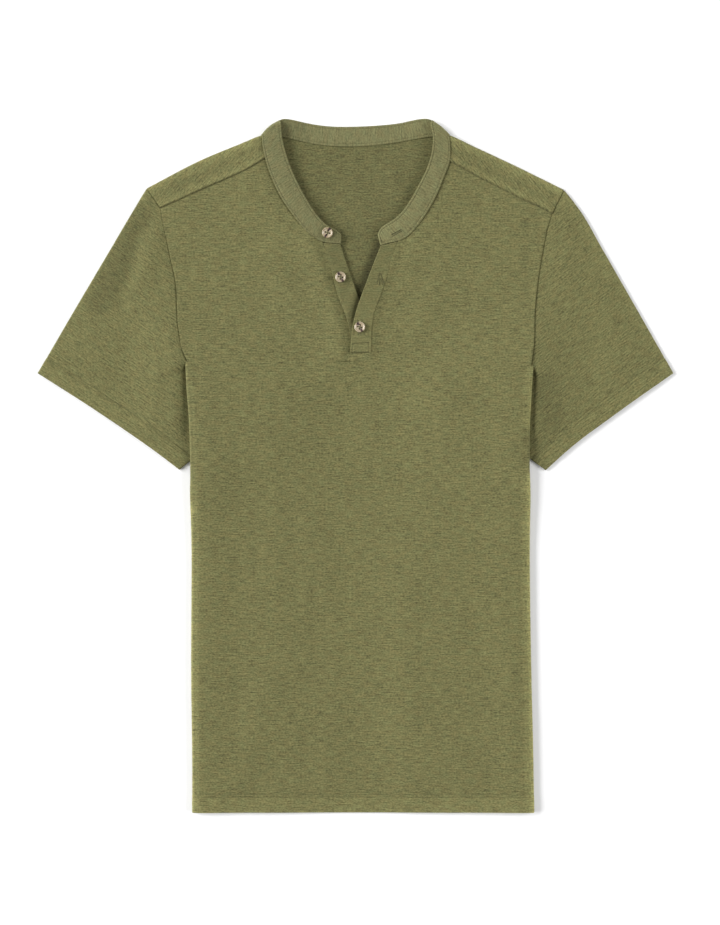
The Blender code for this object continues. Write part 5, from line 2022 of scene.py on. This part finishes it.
class HENLEY_OT_hem_stitching(HenleyOperator, bpy.types.Operator):
    """Sew the twin-needle hems of the body and the sleeves"""

    bl_idname = "henley.hem_stitching"
    bl_label = "Hem stitching"

    def build(self, scene):
        surface = surface_of("front_body_jersey")
        bm = bmesh.new()
        for distance in TWIN_NEEDLE:
            ends = [Vector((half.fold[0].x, BODY_HEM_Y + distance)) for half in HALVES]
            line = straight(*ends, even(HEM_LINE_POINTS))
            run_stitches(bm, surface, lay_line(line, front_height))
        add_sewing("body_hem_stitch", bm)
        for half, side in zip(HALVES, ("left", "right")):
            zone = sleeve_grids(half)[1]
            surface = surface_of(side + "_sleeve_jersey")
            bm = bmesh.new()
            for distance in TWIN_NEEDLE:
                line = [foot.lerp(top, distance / HEM_ZONE)
                        for foot, top in zip(zone[-1], zone[0])]
                run_stitches(bm, surface, lay_line(line, lambda point: SLEEVE_SEWN_FROM))
            add_sewing(side + "_hem_stitch", bm)


class HENLEY_OT_buttons(HenleyOperator, bpy.types.Operator):
    """Add the three buttons and their thread"""

    bl_idname = "henley.buttons"
    bl_label = "Buttons"

    def build(self, scene):
        for button in BUTTONS:
            add_button(button)


def aim(obj, target):
    """Turn a light or the camera to look at a point."""
    obj.rotation_euler = (Vector(target) - obj.location).to_track_quat("-Z", "Y").to_euler()


def add_softbox(name, place, size, power):
    """A rectangular light that looks at the shirt's middle."""
    light = bpy.data.lights.new(name, "AREA")
    light.shape = "RECTANGLE"
    light.size, light.size_y = size
    light.energy = power
    obj = bpy.data.objects.new(name, light)
    obj.location = place
    aim(obj, (0.0, 0.0, 0.0))
    bpy.context.scene.collection.objects.link(obj)


FLOOR_DROP = 0.3
FLOOR_SIDE = 9.0
FLOOR_COLOUR = (0.93, 0.93, 0.935, 1.0)
CAMERA_PLACE = (4.64 * MM, 3.09 * MM)
CAMERA_LENS = 85.0
SENSOR = 36.0
# Columns: name, place, size, where its power is set.
SOFTBOXES = (
    ("key_softbox", (-9.4, 1.7, 3.8), (8.5, 6.5), "key_power"),
    ("fill_softbox", (8.4, 0.4, 4.2), (6.0, 4.6), "fill_power"),
    ("top_softbox", (0.0, 0.6, 3.2), (3.0, 2.4), "top_power"),
)


class HENLEY_OT_studio(HenleyOperator, bpy.types.Operator):
    """Set up the white floor, the soft lights and the camera straight above"""

    bl_idname = "henley.studio"
    bl_label = "Studio"

    def build(self, scene):
        bm = bmesh.new()
        bmesh.ops.create_grid(bm, x_segments=1, y_segments=1, size=FLOOR_SIDE / 2,
                              matrix=Matrix.Translation((0, 0, -FLOOR_DROP * MM)))
        material = new_material("studio floor", lambda tree: {
            "Base Color": FLOOR_COLOUR, "Roughness": 1.0, "Specular IOR Level": 0.0})
        object_from(bm, "studio_floor", material)

        world = bpy.data.worlds.new("studio room")
        world.use_nodes = True
        background = world.node_tree.nodes["Background"]
        background.inputs["Color"].default_value = grey(1.0)
        background.inputs["Strength"].default_value = stage().room_light
        scene.world = world
        for name, place, size, power in SOFTBOXES:
            add_softbox(name, place, size, getattr(stage(), power))

        camera = bpy.data.objects.new("camera", bpy.data.cameras.new("camera"))
        camera.data.lens = CAMERA_LENS
        camera.data.sensor_width = SENSOR
        camera.location = (*CAMERA_PLACE, stage().camera_height)
        scene.collection.objects.link(camera)
        scene.camera = camera
        scene.view_settings.view_transform = "Standard"


OPERATORS = (
    HENLEY_OT_front, HENLEY_OT_back, HENLEY_OT_sleeves, HENLEY_OT_neck_band,
    HENLEY_OT_plackets, HENLEY_OT_topstitching, HENLEY_OT_buttonholes,
    HENLEY_OT_hem_stitching, HENLEY_OT_buttons, HENLEY_OT_studio,
)


class HENLEY_PT_sidebar(bpy.types.Panel):
    """Lists the henley's pieces and their settings"""

    bl_label = "Henley shirt"
    bl_idname = "HENLEY_PT_sidebar"
    bl_space_type = "VIEW_3D"
    bl_region_type = "UI"
    bl_category = "Henley"

    def draw(self, context):
        layout = self.layout
        scene = context.scene
        for group in (scene.henley_sizes, scene.henley_colours, scene.henley_stage):
            for name in type(group).__annotations__:
                layout.prop(group, name)
        for operator in OPERATORS:
            layout.operator(operator.bl_idname)


GROUPS = (("henley_sizes", HenleySizes), ("henley_colours", HenleyColours),
          ("henley_stage", HenleyStage))


def register():
    for name, group in GROUPS:
        bpy.utils.register_class(group)
        setattr(bpy.types.Scene, name, PointerProperty(type=group))
    for operator in OPERATORS:
        bpy.utils.register_class(operator)
    bpy.utils.register_class(HENLEY_PT_sidebar)


def unregister():
    bpy.utils.unregister_class(HENLEY_PT_sidebar)
    for operator in reversed(OPERATORS):
        bpy.utils.unregister_class(operator)
    for name, group in reversed(GROUPS):
        delattr(bpy.types.Scene, name)
        bpy.utils.unregister_class(group)


def main():
    """Build every piece."""
    register()
    for operator in OPERATORS:
        group, name = operator.bl_idname.split(".")
        getattr(getattr(bpy.ops, group), name)()
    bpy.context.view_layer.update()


if __name__ == "__main__":
    main()
